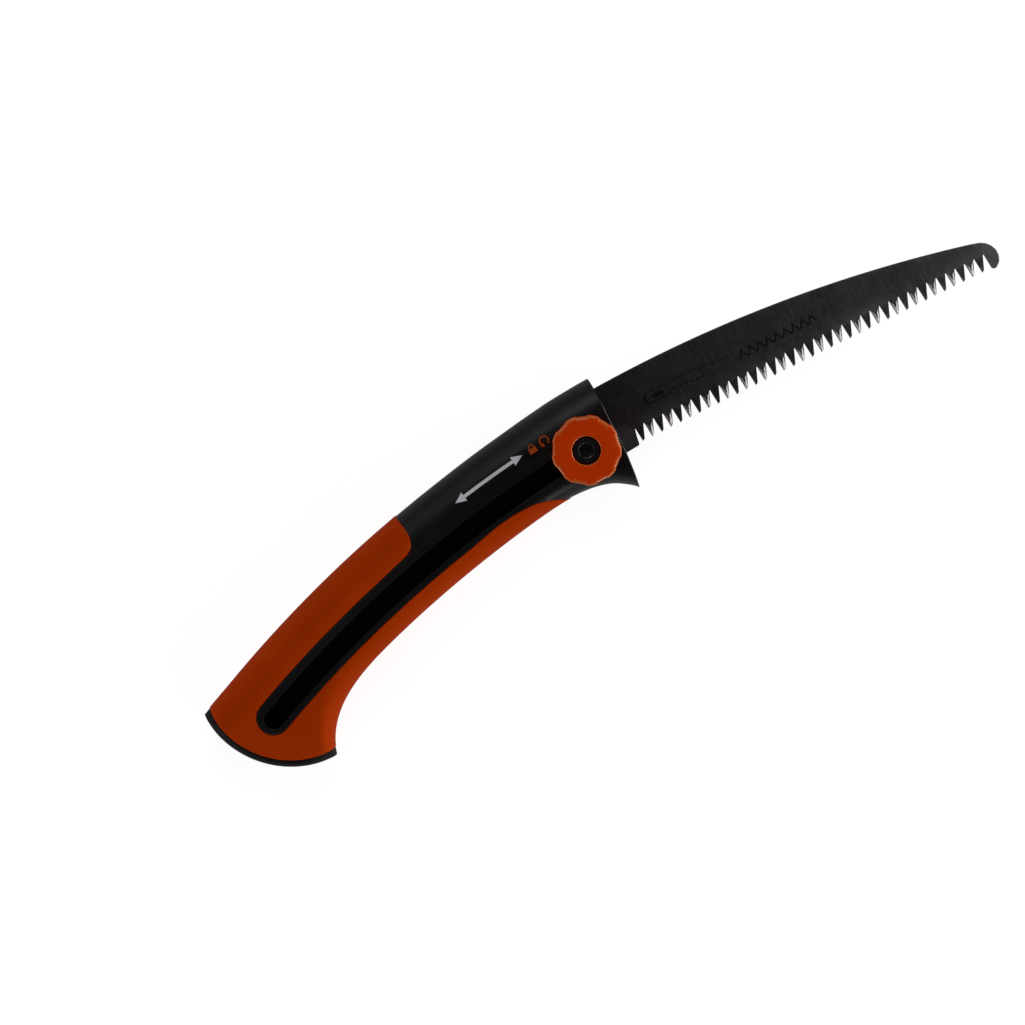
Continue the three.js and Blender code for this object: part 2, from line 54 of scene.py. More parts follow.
TRAVEL = 19.0                       # track angle at the far end of the slide
BUTT = np.array([-140.5, -12.6])    # centre of the round butt
BUTT_R = 38.6
TOP_ROLL, LOW_ROLL, BUTT_ROLL = 11.9, 8.3, 5.0      # widths of the rounded shoulders


# ------------------------------------------------------------------ plane geometry
def track_angle(length):
    return math.degrees(length / TRACK_R)


def track_point(angle, offset):
    angle = np.radians(angle)
    radius = TRACK_R + offset
    return np.stack([-radius * np.sin(angle), radius * np.cos(angle) - TRACK_R], -1)


def track_coords(x, y):
    return np.degrees(np.arctan2(-x, y + TRACK_R)), np.hypot(x, y + TRACK_R) - TRACK_R


def butt_distance(x, y):
    return np.hypot(x - BUTT[0], y - BUTT[1])


def monotone_curve(table):
    """A cubic through (x, y) rows that never overshoots them."""
    x, y = np.array(table, float).T
    step = np.diff(x)
    slope = np.diff(y) / step
    tangent = np.zeros(len(x))
    for i in range(1, len(x) - 1):
        if slope[i - 1] * slope[i] > 0:
            before = 2 * step[i] + step[i - 1]
            after = step[i] + 2 * step[i - 1]
            tangent[i] = (before + after) / (before / slope[i - 1] + after / slope[i])
    tangent[0], tangent[-1] = slope[0], slope[-1]

    def value(at):
        at = np.clip(np.asarray(at, float), x[0], x[-1])
        i = np.clip(np.searchsorted(x, at) - 1, 0, len(x) - 2)
        s = (at - x[i]) / step[i]
        return ((1 + 2 * s) * (1 - s) ** 2 * y[i] + s * (1 - s) ** 2 * step[i] * tangent[i]
                + s * s * (3 - 2 * s) * y[i + 1] + s * s * (s - 1) * step[i] * tangent[i + 1])
    return value


def catmull(points, step, closed=False):
    """A smooth curve through points, resampled at about step."""
    knots = [np.array(p, float) for p in points]
    n = len(knots)
    curve = []
    for i in range(n if closed else n - 1):
        p1, p2 = knots[i], knots[(i + 1) % n]
        p0 = knots[(i - 1) % n] if closed or i > 0 else 2 * knots[0] - knots[1]
        p3 = knots[(i + 2) % n] if closed or i + 2 < n else 2 * knots[-1] - knots[-2]
        parts = max(1, int(math.ceil(np.linalg.norm(p2 - p1) / step)))
        for j in range(parts):
            t = j / parts
            curve.append(0.5 * ((2 * p1) + (p2 - p0) * t + (2 * p0 - 5 * p1 + 4 * p2 - p3) * t * t
                                + (3 * p1 - p0 - 3 * p2 + p3) * t ** 3))
    if not closed:
        curve.append(knots[-1])
    return np.array(curve)


def resample(points, step):
    """A closed polygon with its sides split into parts no longer than step."""
    corners = np.array(points, float)
    split = []
    for start, end in zip(corners, np.roll(corners, -1, 0)):
        parts = max(1, int(math.ceil(np.linalg.norm(end - start) / step)))
        split += [start + (end - start) * j / parts for j in range(parts)]
    return np.array(split)


def inside(px, py, poly):
    """Which points lie in a polygon, by counting the sides to their right."""
    result = np.zeros(len(px), bool)
    x, y = poly[:, 0][None], poly[:, 1][None]
    x2, y2 = np.roll(poly[:, 0], -1)[None], np.roll(poly[:, 1], -1)[None]
    block = 4000
    for i in range(0, len(px), block):
        qx, qy = px[i:i + block, None], py[i:i + block, None]
        with np.errstate(divide="ignore", invalid="ignore"):
            hit = ((y > qy) != (y2 > qy)) & (qx < (x2 - x) * (qy - y) / (y2 - y) + x)
        result[i:i + block] = hit.sum(1) % 2 == 1
    return result


def distance(px, py, line, closed=False):
    """Distance of each point from a polyline."""
    start = line if closed else line[:-1]
    side = (np.roll(line, -1, 0) if closed else line[1:]) - start
    square = np.maximum((side ** 2).sum(1), 1e-12)[None]
    x, y = start[:, 0][None], start[:, 1][None]
    dx, dy = side[:, 0], side[:, 1]
    result = np.empty(len(px))
    block = 3000
    for i in range(0, len(px), block):
        qx, qy = px[i:i + block, None], py[i:i + block, None]
        t = np.clip(((qx - x) * dx + (qy - y) * dy) / square, 0, 1)
        result[i:i + block] = np.hypot(qx - x - t * dx, qy - y - t * dy).min(1)
    return result


def far_from(points, gap, loops=(), lines=()):
    """The points more than gap away from every closed loop and open line."""
    keep = np.ones(len(points), bool)
    for curves, closed in ((loops, True), (lines, False)):
        for curve in curves:
            keep &= distance(*points.T, curve, closed) > gap
    return points[keep]


def clip_lines(rows, keep):
    """Splits polylines into the runs whose points satisfy keep(x, y)."""
    runs = []
    for row in rows:
        run = []
        for point, kept in zip(row, keep(*row.T)):
            if kept:
                run.append(point)
            else:
                runs.append(run)
                run = []
        runs.append(run)
    return [np.array(run) for run in runs if len(run) > 1]


def unit(vector):
    vector = np.array(vector, float)
    return vector / np.linalg.norm(vector)


def offset_line(line, gap):
    """A polyline moved by gap to the right of its direction."""
    along = np.gradient(line, axis=0)
    normal = np.stack([along[:, 1], -along[:, 0]], -1)
    normal /= np.linalg.norm(normal, axis=1)[:, None]
    return line + gap * normal


def circle(centre, radius, n=64, turn=0.0):
    t = turn + np.arange(n) * 2 * math.pi / n
    return np.array(centre) + radius * np.stack([np.cos(t), np.sin(t)], -1)


def round_end(angle, offset, radius, turns, side=1):
    """Points on a half circle around a track point, bulging to larger angles when side is 1."""
    tilt = math.radians(angle)
    centre = track_point(angle, offset)
    points = []
    for turn in turns:
        ahead = side * radius * math.cos(turn)
        out = radius * math.sin(turn)
        points.append([centre[0] - ahead * math.cos(tilt) - out * math.sin(tilt),
                       centre[1] - ahead * math.sin(tilt) + out * math.cos(tilt)])
    return points


def stadium(half, start, end, offset, step, parts=22):
    """Closed band of the given half width along the track, with round ends."""
    angles = np.linspace(start, end, max(2, int((end - start) / track_angle(step))))
    turns = [math.pi / 2 - math.pi * i / parts for i in range(1, parts)]
    return np.concatenate([track_point(angles, offset + half),
                           round_end(end, offset, half, turns),
                           track_point(angles[::-1], offset - half),
                           round_end(start, offset, half, [-t for t in turns], side=-1)])


def band_distance(x, y, start, end, offset=0.0):
    """Distance from the line at an offset between two track angles."""
    angle, out = track_coords(x, y)
    along = np.radians(angle) * TRACK_R
    over = np.maximum(math.radians(start) * TRACK_R - along, along - math.radians(end) * TRACK_R)
    return np.hypot(np.maximum(0, over), out - offset)


def quarter(u):
    """Quarter circle that rises from 0 to 1."""
    return np.sqrt(np.maximum(0, 1 - (1 - np.clip(u, 0, 1)) ** 2))


def smooth(u):
    u = np.clip(u, 0, 1)
    return u * u * (3 - 2 * u)


def edge_drop(gap, radius):
    """How far an edge rounded to radius lies below the surface, at gap from the edge."""
    u = np.clip(gap, 0, radius)
    return radius - np.sqrt(np.maximum(0, radius * radius - (radius - u) ** 2))


# ------------------------------------------------------------------ handle form
# Track angle, offset of the handle's upper and lower edges.
top_edge = monotone_curve([
    [-3, 22.62], [-0.7, 22.74], [0.4, 22.72], [0.9, 22.57], [1.95, 22.28], [3.03, 22.0],
    [4.1, 21.87], [5.2, 21.7], [6.3, 21.56], [8, 21.5], [19, 21.5], [20.5, 21.8], [23, 22.1]])
low_edge = monotone_curve([
    [-3, -24.6], [-1.34, -24.45], [-1.18, -23.1], [-1.04, -21.94], [-0.742, -19.95],
    [-0.433, -18.12], [-0.098, -16.64], [0.264, -15.53], [0.642, -14.64], [1.037, -13.96],
    [1.45, -13.45], [1.852, -13.1], [2.3, -12.9], [3.2, -12.82], [5, -12.95], [8, -13.1],
    [12, -13.2], [13.6, -13.32], [14.5, -13.65], [15.4, -14.45], [16.1, -15.6], [16.7, -17.1],
    [17.2, -18.9], [17.6, -20.8], [17.95, -22.9], [18.25, -25.2], [18.6, -28.0], [23, -28.2]])
# x, y of the handle's front edge, from the top down
FRONT_LINE = catmull([
    [13.9, 23.0], [14.32, 22.3], [14.5, 21.4], [14.5, 17.8], [14.3, 12.8], [13.9, 7.8],
    [13.5, 2.9], [13.15, -3.4], [12.6, -9.0], [12.0, -12.8], [11.35, -16.8], [10.5, -20.9],
    [10.0, -23.2], [9.6, -24.4]], 0.8)
LIP, LIP_SLOPE = 0.32, 0.80         # flat chamfer along the front edge
WALL_R = 35.5                       # shells and pads end here, measured from the butt's centre
LOW_FINE = 2.2, 13.8                # the lower edge bends most outside these angles


def handle_outline(inset, step):
    """The handle's edge moved inwards by inset, anticlockwise."""
    radius = BUTT_R - inset

    def top(angle):
        return top_edge(angle) - inset

    def low(angle):
        return low_edge(angle) + inset

    def butt_crossing(angles, edge):
        reach = np.hypot(*(track_point(angles, edge(angles)) - BUTT).T)
        return angles[np.argmin(np.abs(reach - radius))]

    def butt_turn(angle, edge):
        x, y = track_point(angle, edge(angle)) - BUTT
        return math.atan2(y, x) % (2 * math.pi)

    low_end = butt_crossing(np.linspace(17.5, 19.2, 400), low)
    top_end = butt_crossing(np.linspace(20.0, 22.5, 400), top)
    front = []
    for point in FRONT_LINE:
        angle, offset = track_coords(*point)
        if low(angle) < offset < top(angle):
            front.append(point)
    low_start = track_coords(*front[-1])[0] + 0.04
    top_start = track_coords(*front[0])[0] + 0.03
    low_angles = np.concatenate([np.arange(low_start, LOW_FINE[0], 0.055),
                                 np.arange(*LOW_FINE, track_angle(step)),
                                 np.arange(LOW_FINE[1], low_end, 0.09)])
    turns = np.linspace(butt_turn(low_end, low), butt_turn(top_end, top), 60)
    butt = BUTT + radius * np.stack([np.cos(turns), np.sin(turns)], -1)
    top_angles = np.arange(top_end, top_start, -track_angle(step))[1:]
    return np.concatenate([front, track_point(low_angles, low(low_angles)), butt,
                           track_point(top_angles, top(top_angles))])[::-1]


def skin(x, y, inset=0.0):
    """Height of the handle's surface above its mid plane, moved inwards by inset."""
    angle, offset = track_coords(x, y)
    top = quarter((top_edge(angle) - offset - inset) / (TOP_ROLL - inset))
    low = quarter((offset - low_edge(angle) - inset) / (LOW_ROLL - inset))
    butt = 0.5 * (1 + quarter((BUTT_R - inset - butt_distance(x, y)) / BUTT_ROLL))
    return (HALF_T - inset) * top * low * np.where(x < BUTT[0] + 6, butt, 1.0)


def front_chamfer(x, y):
    near = x > 5
    drop = np.zeros(len(x))
    drop[near] = LIP_SLOPE * np.clip(LIP - distance(x[near], y[near], FRONT_LINE), 0, LIP)
    return drop


def shoulder_rows(inset=0.0, step=1.6):
    """Lines that follow the rounded shoulders, close together where the surface is steep."""
    plain = np.arange(-1.8, 22.4, track_angle(step))
    fine = np.concatenate([np.arange(-1.8, LOW_FINE[0], 0.075),
                           np.arange(*LOW_FINE, track_angle(step)),
                           np.arange(LOW_FINE[1], 22.0, 0.12)])
    rows = []
    for t in np.radians([4, 8, 13, 19, 26, 34, 43, 53, 64, 76, 90]):
        fall = 1 - math.cos(t)
        rows.append(track_point(plain, top_edge(plain) - inset - (TOP_ROLL - inset) * fall))
        rows.append(track_point(fine, low_edge(fine) + inset + (LOW_ROLL - inset) * fall))
    return rows


def crest_points(step):
    """A grid of points over the flat of the handle."""
    angles, offsets = np.meshgrid(np.arange(-1.8, 22.4, track_angle(step)),
                                  np.arange(-17, 9.7, step))
    return track_point(angles.ravel(), offsets.ravel())


def past_wall(x, y):
    """The part of the butt that belongs to the end cap."""
    return (x < BUTT[0] + 4) & (butt_distance(x, y) > WALL_R)


# ------------------------------------------------------------------ meshes
WELD = 2e-4


def weld(verts, faces):
    """Merges vertices that share a cell of size WELD and drops the faces that collapse."""
    cells, kept, new = {}, [], []
    for vert, cell in zip(verts, np.round(verts / WELD).astype(np.int64).tolist()):
        cell = tuple(cell)
        if cell not in cells:
            cells[cell] = len(kept)
            kept.append(vert)
        new.append(cells[cell])
    sound = []
    for face in faces:
        ring = []
        for i in face:
            if not ring or ring[-1] != new[i]:
                ring.append(new[i])
        if len(ring) > 1 and ring[0] == ring[-1]:
            ring.pop()
        if len(set(ring)) >= 3 and len(set(ring)) == len(ring):
            sound.append(ring)
    return np.array(kept), sound


def mesh_object(name, verts, faces, smooth_angle):
    mesh = bpy.data.meshes.new(name)
    mesh.from_pydata((np.asarray(verts, float) * MM).tolist(), [], faces)
    mesh.validate()
    mesh.update()
    mesh.polygons.foreach_set("use_smooth", [True] * len(mesh.polygons))
    mesh.set_sharp_from_angle(angle=math.radians(smooth_angle))
    ob = bpy.data.objects.new(name, mesh)
    bpy.context.scene.collection.objects.link(ob)
    return ob


def triangulate(loops, lines, points):
    """Delaunay triangulation of the plane with closed loops and open lines as edges."""
    verts, edges = [], []
    for line, closed in [(q, True) for q in loops] + [(q, False) for q in lines]:
        first, n = len(verts), len(line)
        verts.extend(line.tolist())
        edges.extend((first + i, first + (i + 1) % n) for i in range(n if closed else n - 1))
    if len(points):
        verts.extend(points.tolist())
    result = delaunay_2d_cdt([Vector(v) for v in verts], edges, [], 0, 1e-4, False)
    return np.array([list(v) for v in result[0]]), np.array([list(f) for f in result[2]], int)


def levelled(name, loops, classify, tops, bottoms, lines=(), points=(), flip=False,
             smooth_angle=35.0, base=MID_Z):
    """A closed solid: every triangle of the plane has one top and one bottom surface, with
    upright walls where they change. classify(x, y) gives (inside, top index, bottom index).
    Heights are above base, or below it when flip is set."""
    plane, tris = triangulate(loops, lines, points)
    centre = plane[tris].mean(1)
    kept, top_of, bottom_of = classify(centre[:, 0], centre[:, 1])
    tris, top_of, bottom_of = tris[kept], top_of[kept], bottom_of[kept]
    corner = plane[tris]
    to_b, to_c = corner[:, 1] - corner[:, 0], corner[:, 2] - corner[:, 0]
    area = to_b[:, 0] * to_c[:, 1] - to_c[:, 0] * to_b[:, 1]
    tris = np.where(area[:, None] < 0, tris[:, ::-1], tris)
    height = {}
    for side, surfaces in (("top", tops), ("bottom", bottoms)):
        for i, surface in enumerate(surfaces):
            height[side, i] = surface(plane[:, 0], plane[:, 1])
    index, verts, stacks = {}, [], {}       # stacks: plane vertex -> its (height, vertex) pairs

    def vertex(level, i):
        if (level, i) not in index:
            index[level, i] = len(verts)
            z = float(height[level][i])
            stacks.setdefault(i, []).append((z, len(verts)))
            verts.append((plane[i, 0], plane[i, 1], z))
        return index[level, i]

    faces, edges = [], {}
    for tri, top, bottom in zip(tris.tolist(), top_of.tolist(), bottom_of.tolist()):
        top, bottom = ("top", top), ("bottom", bottom)
        faces.append([vertex(top, i) for i in tri])
        faces.append([vertex(bottom, i) for i in tri[::-1]])
        for i in range(3):
            edges[tri[i], tri[(i + 1) % 3]] = (top, bottom)

    def wall(start, end, one, two):
        """Upright face over an edge, with every vertex that lies between the two levels."""
        def stack(i):
            low, high = sorted((height[one][i], height[two][i]))
            return [q[1] for q in sorted(stacks[i]) if low - 1e-9 <= q[0] <= high + 1e-9]

        ring = stack(start)[::-1] + stack(end)
        if len(ring) >= 3:
            faces.append(ring)

    for (start, end), (top, bottom) in edges.items():
        if (end, start) not in edges:
            wall(start, end, top, bottom)
            continue
        ends = [start, end]
        top2, bottom2 = edges[end, start]
        if top2 != top and height[top][ends].sum() > height[top2][ends].sum():
            wall(start, end, top, top2)
        if bottom2 != bottom and height[bottom][ends].sum() < height[bottom2][ends].sum():
            wall(start, end, bottom2, bottom)
    verts = np.array(verts)
    if flip:
        verts[:, 2] *= -1
        faces = [face[::-1] for face in faces]
    verts[:, 2] += base
    return mesh_object(name, *weld(verts, faces), smooth_angle)


def one_level(kept):
    """classify's answer for a solid with one top and one bottom surface."""
    level = np.zeros(len(kept), int)
    return kept, level, level


def flat(height):
    return lambda x, y: np.full(len(x), height)


# ------------------------------------------------------------------ handle layout
STRIP_START, STRIP_END, STRIP_O, STRIP_R = -6.0, 18.96, 0.5, 6.45   # sunk strip around the slot
STRIP = STRIP_START, STRIP_END, STRIP_O
SLOT_R = 3.75
SLOT = -track_angle(2.9), TRAVEL
PAD_SEAT, PAD_T = 1.4, 1.2          # depth of the pads' seats, and of the pads' undersides
PAD_PROUD = 0.25
CHANNEL_HALF, CHANNEL_Z = 9.0, 9.4  # channel inside the shells for the carriage
CHANNEL_START, CHANNEL_END = -track_angle(10.0), TRAVEL + track_angle(11.4)
BEVEL_O, BEVEL_SLOPE = -6.0, 0.8    # the channel's roof slopes down below this offset
SLIT_Z = 1.2                        # shallow recess on the mid plane
SCREWS = [np.array([6.5, -14.6]), track_point(16.9, -13.0), track_point(19.2, -15.5),
          track_point(20.0, 15.0)]
SCREW_SEAT_R, SCREW_SEAT_Z = 3.0, 6.5
PAD_HOLE_R = 3.2


def pad_edge():
    """The pads' inner edge: in from the lower edge, round the strip, and out at the top."""
    step = track_angle(1.6)
    strip_low = track_point(np.arange(6.9, STRIP_END, step), STRIP_O - STRIP_R)
    strip_up = track_point(np.arange(STRIP_END, 10.75, -step), STRIP_O + STRIP_R)
    turns = np.linspace(-math.pi / 2, math.pi / 2, 26)[1:-1]
    strip_end = round_end(STRIP_END, STRIP_O, STRIP_R, turns)
    low_front = catmull([
        [-13.2, -14.6], [-14.7, -13.75], [-16.46, -12.95], [-18.6, -11.6], [-22.31, -9.45],
        [-26.55, -7.95], [-30.07, -7.3], [-36.94, -7.0], [-45.76, -7.62], strip_low[0]], 0.8)
    up_front = catmull([
        strip_up[-1], [-86.5, -0.55], [-83.36, 0.12], [-80.46, 0.75], [-78.11, 1.75],
        [-76.3, 3.6], [-75.35, 6.16], [-75.1, 9.23], [-75.6, 12.9], [-76.3, 16.4],
        [-77.2, 20.5], [-78.0, 26.0]], 0.7)
    return np.concatenate([low_front[:-1], strip_low, strip_end, strip_up[:-1], up_front])


PAD_EDGE = pad_edge()
# closed well outside the handle
PAD_POLY = np.concatenate([
    PAD_EDGE, [[-200, 10], [-200, -70], [-120, -70], [-60, -45], [-13.2, -24]]])
CHANNEL = resample(np.concatenate([
    track_point(np.linspace(CHANNEL_START, CHANNEL_END, 60), CHANNEL_HALF),
    [track_point(CHANNEL_END, -5.2)],
    [track_point(CHANNEL_END - track_angle(3.9), -CHANNEL_HALF)],
    track_point(np.linspace(CHANNEL_END - track_angle(4.5), CHANNEL_START, 60),
                -CHANNEL_HALF)]), 3.0)
SLIT = np.concatenate([track_point(np.linspace(-3.0, 18.35, 70), 18.9),
                       track_point(np.linspace(18.35, -3.0, 70), -10.2)])


# ------------------------------------------------------------------ shells
def shell(name, left):
    outline = handle_outline(0.0, 1.4)
    seat = handle_outline(PAD_SEAT, 1.6)
    loops = [outline, circle(BUTT, WALL_R, 120), CHANNEL, SLIT]
    avoid = [outline, CHANNEL, SLIT]
    lines = [PAD_EDGE,
             track_point(np.linspace(STRIP_END + 0.2, CHANNEL_END - 0.05, 14), BEVEL_O)]
    if left:
        lines.append(track_point(np.linspace(CHANNEL_START + 0.02, 5.2, 30), BEVEL_O))
        seats = [circle(screw, SCREW_SEAT_R, 40) for screw in SCREWS]
        loops += seats
        avoid += seats
    else:
        loops += [stadium(SLOT_R + gap, *SLOT, 0.0, 1.4) for gap in (0.0, 0.06, 0.2)]
        avoid += [loops[-1], stadium(STRIP_R, *STRIP, 1.2)]
        loops += [stadium(STRIP_R - gap, *STRIP, 1.4)
                  for gap in (2.0, 1.4, 1.0, 0.75, 0.56, 0.37, 0.18)]
    loops.append(seat)
    points = crest_points(2.0)
    points = far_from(points[inside(*points.T, outline)], 0.6, avoid, lines)
    lines += [FRONT_LINE - [gap, 0] for gap in (0.16, LIP, LIP + 0.12)]

    def clear(x, y):
        return left | (band_distance(x, y, *STRIP) > STRIP_R + 0.3)

    lines += clip_lines(shoulder_rows(), lambda x, y:
                        inside(x, y, outline) & ~inside(x, y, PAD_POLY) & clear(x, y))
    lines += clip_lines(shoulder_rows(PAD_SEAT, 2.4), lambda x, y:
                        inside(x, y, seat) & inside(x, y, PAD_POLY) & clear(x, y))

    def classify(x, y):
        pad = inside(x, y, PAD_POLY)
        kept = inside(x, y, outline) & ~past_wall(x, y) & ~(pad & ~inside(x, y, seat))
        top = np.where(pad, 1, 0)
        bottom = np.where(inside(x, y, CHANNEL), 2, np.where(inside(x, y, SLIT), 1, 0))
        if left:
            for screw in SCREWS:
                top = np.where(np.hypot(x - screw[0], y - screw[1]) < SCREW_SEAT_R, 2, top)
        else:
            kept &= band_distance(x, y, *SLOT) > SLOT_R
        return kept, top, bottom

    def outer(x, y):
        z = skin(x, y) - front_chamfer(x, y)
        if not left:
            z = z - 0.2 * smooth((STRIP_R - band_distance(x, y, *STRIP)) / 0.75)
            z = z - edge_drop(band_distance(x, y, *SLOT) - SLOT_R, 0.2)
        return np.maximum(z, 0.0)

    def pad_seat(x, y):
        return np.maximum(skin(x, y, PAD_SEAT), 0.0)

    def channel_roof(x, y):
        return CHANNEL_Z - BEVEL_SLOPE * np.clip(BEVEL_O - track_coords(x, y)[1], 0, 3.2)

    return levelled(name, loops, classify, [outer, pad_seat, flat(SCREW_SEAT_Z)],
                    [flat(0.0), flat(SLIT_Z), channel_roof], lines, points, flip=left)


right_shell = shell("right_shell_moulding", False)
left_shell = shell("left_shell_moulding", True)


# ------------------------------------------------------------------ grip pads
def grip(name, left):
    edge = handle_outline(-PAD_PROUD, 1.2)
    loops = [edge, circle(BUTT, WALL_R, 160), handle_outline(PAD_T, 1.6)]
    loops += [circle(BUTT, WALL_R - gap, 160) for gap in (0.12, 0.35)]
    holes = SCREWS[1:] if left else []
    loops += [circle(screw, radius, 44) for screw in holes for radius in (PAD_HOLE_R, 3.35, 3.6)]

    def within(x, y):
        return inside(x, y, edge) & inside(x, y, PAD_POLY)

    # the lines beside the edge shape its rounded lip
    lines = [PAD_EDGE] + [offset_line(PAD_EDGE, -gap) for gap in (0.05, 0.15, 0.32, 0.6)]
    lines += clip_lines(shoulder_rows(-PAD_PROUD, 1.7), within)
    points = crest_points(1.8)
    points = far_from(points[within(*points.T)], 0.9, lines=[PAD_EDGE])

    def classify(x, y):
        kept = within(x, y) & ~past_wall(x, y)
        for screw in holes:
            kept &= np.hypot(x - screw[0], y - screw[1]) > PAD_HOLE_R
        return one_level(kept)

    def top(x, y):
        z = skin(x, y, -PAD_PROUD)
        if not left:
            # slightly below the handle's skin along the shoe's path
            path = band_distance(x, y, 0.0, TRAVEL + track_angle(3.4))
            z = z - (PAD_PROUD + 0.03) * (1 - smooth((path - 7.2) / 3.0))
        z = z - edge_drop(distance(x, y, PAD_EDGE), 0.6)
        z = z - edge_drop(np.where(x < BUTT[0] + 4, WALL_R - butt_distance(x, y), 0.3), 0.3)
        for screw in holes:
            z = z - edge_drop(np.hypot(x - screw[0], y - screw[1]) - PAD_HOLE_R, 0.4)
        return np.maximum(z, 0.0)

    def bottom(x, y):
        return np.minimum(np.maximum(skin(x, y, PAD_T), 0.0), np.maximum(top(x, y) - 0.02, 0.0))

    return levelled(name, loops, classify, [top], [bottom], lines, points, flip=left,
                    smooth_angle=50)


right_grip = grip("right_grip_pad", False)
left_grip = grip("left_grip_pad", True)


# ------------------------------------------------------------------ end cap, in one piece
def end_cap():
    edge = handle_outline(0.0, 1.0)
    radii = (WALL_R, WALL_R + 0.1, WALL_R + 0.3, 36.3, 36.9, 37.5, 38.1, 38.45)
    loops = [edge] + [circle(BUTT, radius, 200) for radius in radii]
    rows = clip_lines(shoulder_rows(0.0, 1.0), lambda x, y: inside(x, y, edge)
                      & (butt_distance(x, y) > WALL_R + 0.05) & (x < BUTT[0] + 4))

    def classify(x, y):
        return one_level(inside(x, y, edge) & (butt_distance(x, y) > WALL_R) & (x < BUTT[0] + 2))

    def top(x, y):
        return np.maximum(skin(x, y) - edge_drop(butt_distance(x, y) - WALL_R, 0.35), 0.0)

    return levelled("end_cap_moulding", loops, classify, [top], [lambda x, y: -top(x, y)], rows,
                    smooth_angle=40)


cap = end_cap()

# ------------------------------------------------------------------ blade
TEETH, PITCH = 38, 4.021
TOOTH_X, TOOTH_Y = 20.19, -9.27     # tip of the tooth nearest the handle
TOOTH_SLOPE = -0.0876               # rise of the line of tips along x
SPINE_X, SPINE_Y, SPINE_R = -7.75, -527.8, 546.2    # arc of the blade's back
BLADE_T = 1.25
FACET_W, FACET_DEPTH = 0.88, 0.72   # ground facets of the teeth
RUNOUT = 1.5                        # length over which a facet fades out
FACET_END = 0.15                    # gap between a facet's end and the gullet
SPINE_CHAMFER_W, SPINE_CHAMFER_DEPTH = 0.28, 0.24
# x, y corners: lower edge of the tang, the toothless edge before the teeth, the rounded point
TANG_LOW = [[-10.4, -3.6], [-7.6, -7.4], [8.6, -7.6], [9.6, -9.8], [17.9, -9.8], [18.3, -9.62],
            [18.5, -9.2], [19.02, -6.75], [19.75, -4.35], [19.95, -3.75], [20.1, -3.55]]
POINT = [[169.82, -23.05], [170.9, -22.85], [172.01, -22.21], [172.9, -21.4], [173.55, -20.44],
         [173.95, -19.3], [174.1, -18.07], [174.03, -16.9], [173.69, -15.78], [173.25, -14.7],
         [172.65, -13.79], [171.9, -12.85], [170.98, -12.1], [169.9, -11.4], [168.56, -10.89]]
TANG_TOP = [[8.6, 7.4], [-7.2, 7.4], [-10.4, 4.6]]
# centre and radius of the bolt hole, then of the rivet holes
BLADE_BOLT_HOLE = circle((0, 0), 3.15, 48)
RIVET_HOLES = [circle(c, 1.62, 24) for c in ((-7.0, 5.0), (-7.0, -4.0), (6.8, -4.05))]


def spine_point(x):
    return [x, SPINE_Y + math.sqrt(SPINE_R ** 2 - (x - SPINE_X) ** 2)]


def crossing(start, along, start2, along2):
    """Where two lines, each given by a point and a direction, meet."""
    matrix = np.array([[along[0], -along2[0]], [along[1], -along2[1]]])
    return start + np.linalg.solve(matrix, start2 - start)[0] * along


def tooth_rows():
    """The outline's points along the teeth, and each ground tooth as (tip, heel, facets).
    A facet is (start, direction, inward normal, length), handle side first."""
    points, teeth = [], []
    for i in range(TEETH):
        x = TOOTH_X + PITCH * i
        y = TOOTH_Y + TOOTH_SLOPE * PITCH * i
        tip = np.array([x, y])
        points.append([x, y])
        if i == TEETH - 1:
            break
        heel = tip + [1.06, 0.48]
        root = np.array([x - 0.09, y + 6.05 if i else -3.55])
        next_root = np.array([x + PITCH - 0.5, y + 5.55])
        points += [list(heel), list(next_root), [x + PITCH - 0.33, y + 5.8],
                   [x + PITCH - 0.16, y + 5.86], [x + PITCH - 0.09, y + 5.7]]
        back, front = unit(root - tip), unit(next_root - heel)
        teeth.append((tip, heel, [
            (tip, back, np.array([back[1], -back[0]]), np.linalg.norm(root - tip)),
            (heel, front, np.array([-front[1], front[0]]), np.linalg.norm(next_root - heel))]))
    return points, teeth


TOOTH_POINTS, GROUND_TEETH = tooth_rows()
BLADE_OUTLINE = np.array(TANG_LOW + TOOTH_POINTS + POINT
                         + [spine_point(x) for x in np.arange(166.5, 10.2, -2.2)]
                         + [spine_point(9.6)] + TANG_TOP)
SPINE_LINE = np.array([spine_point(x) for x in np.arange(9.0, 169, 2.0)]
                      + [POINT[i] for i in (13, 12, 10, 8, 6, 4, 2)])


def facet_ridges():
    ridges = []
    for tip, heel, facets in GROUND_TEETH:
        (_, back, back_in, _), (_, front, front_in, _) = facets
        peak = crossing(tip + FACET_W * back_in, back, heel + FACET_W * front_in, front)
        cut = unit(heel - tip)
        mitre = crossing(tip, unit(back + cut), heel, unit(-cut + front))
        ridges += [[tip, mitre, peak], [heel, mitre]]
        for base, along, inward, length in facets:
            end = length - FACET_END
            start = end - RUNOUT
            last = base + end * along + 0.02 * inward
            if (peak - base) @ along < start:
                edge = base + start * along
                ridges += [[peak, edge + FACET_W * inward, last],
                           [edge + 0.01 * inward, edge + FACET_W * inward]]
            else:
                ridges.append([peak, last])
    return [np.array(ridge) for ridge in ridges]


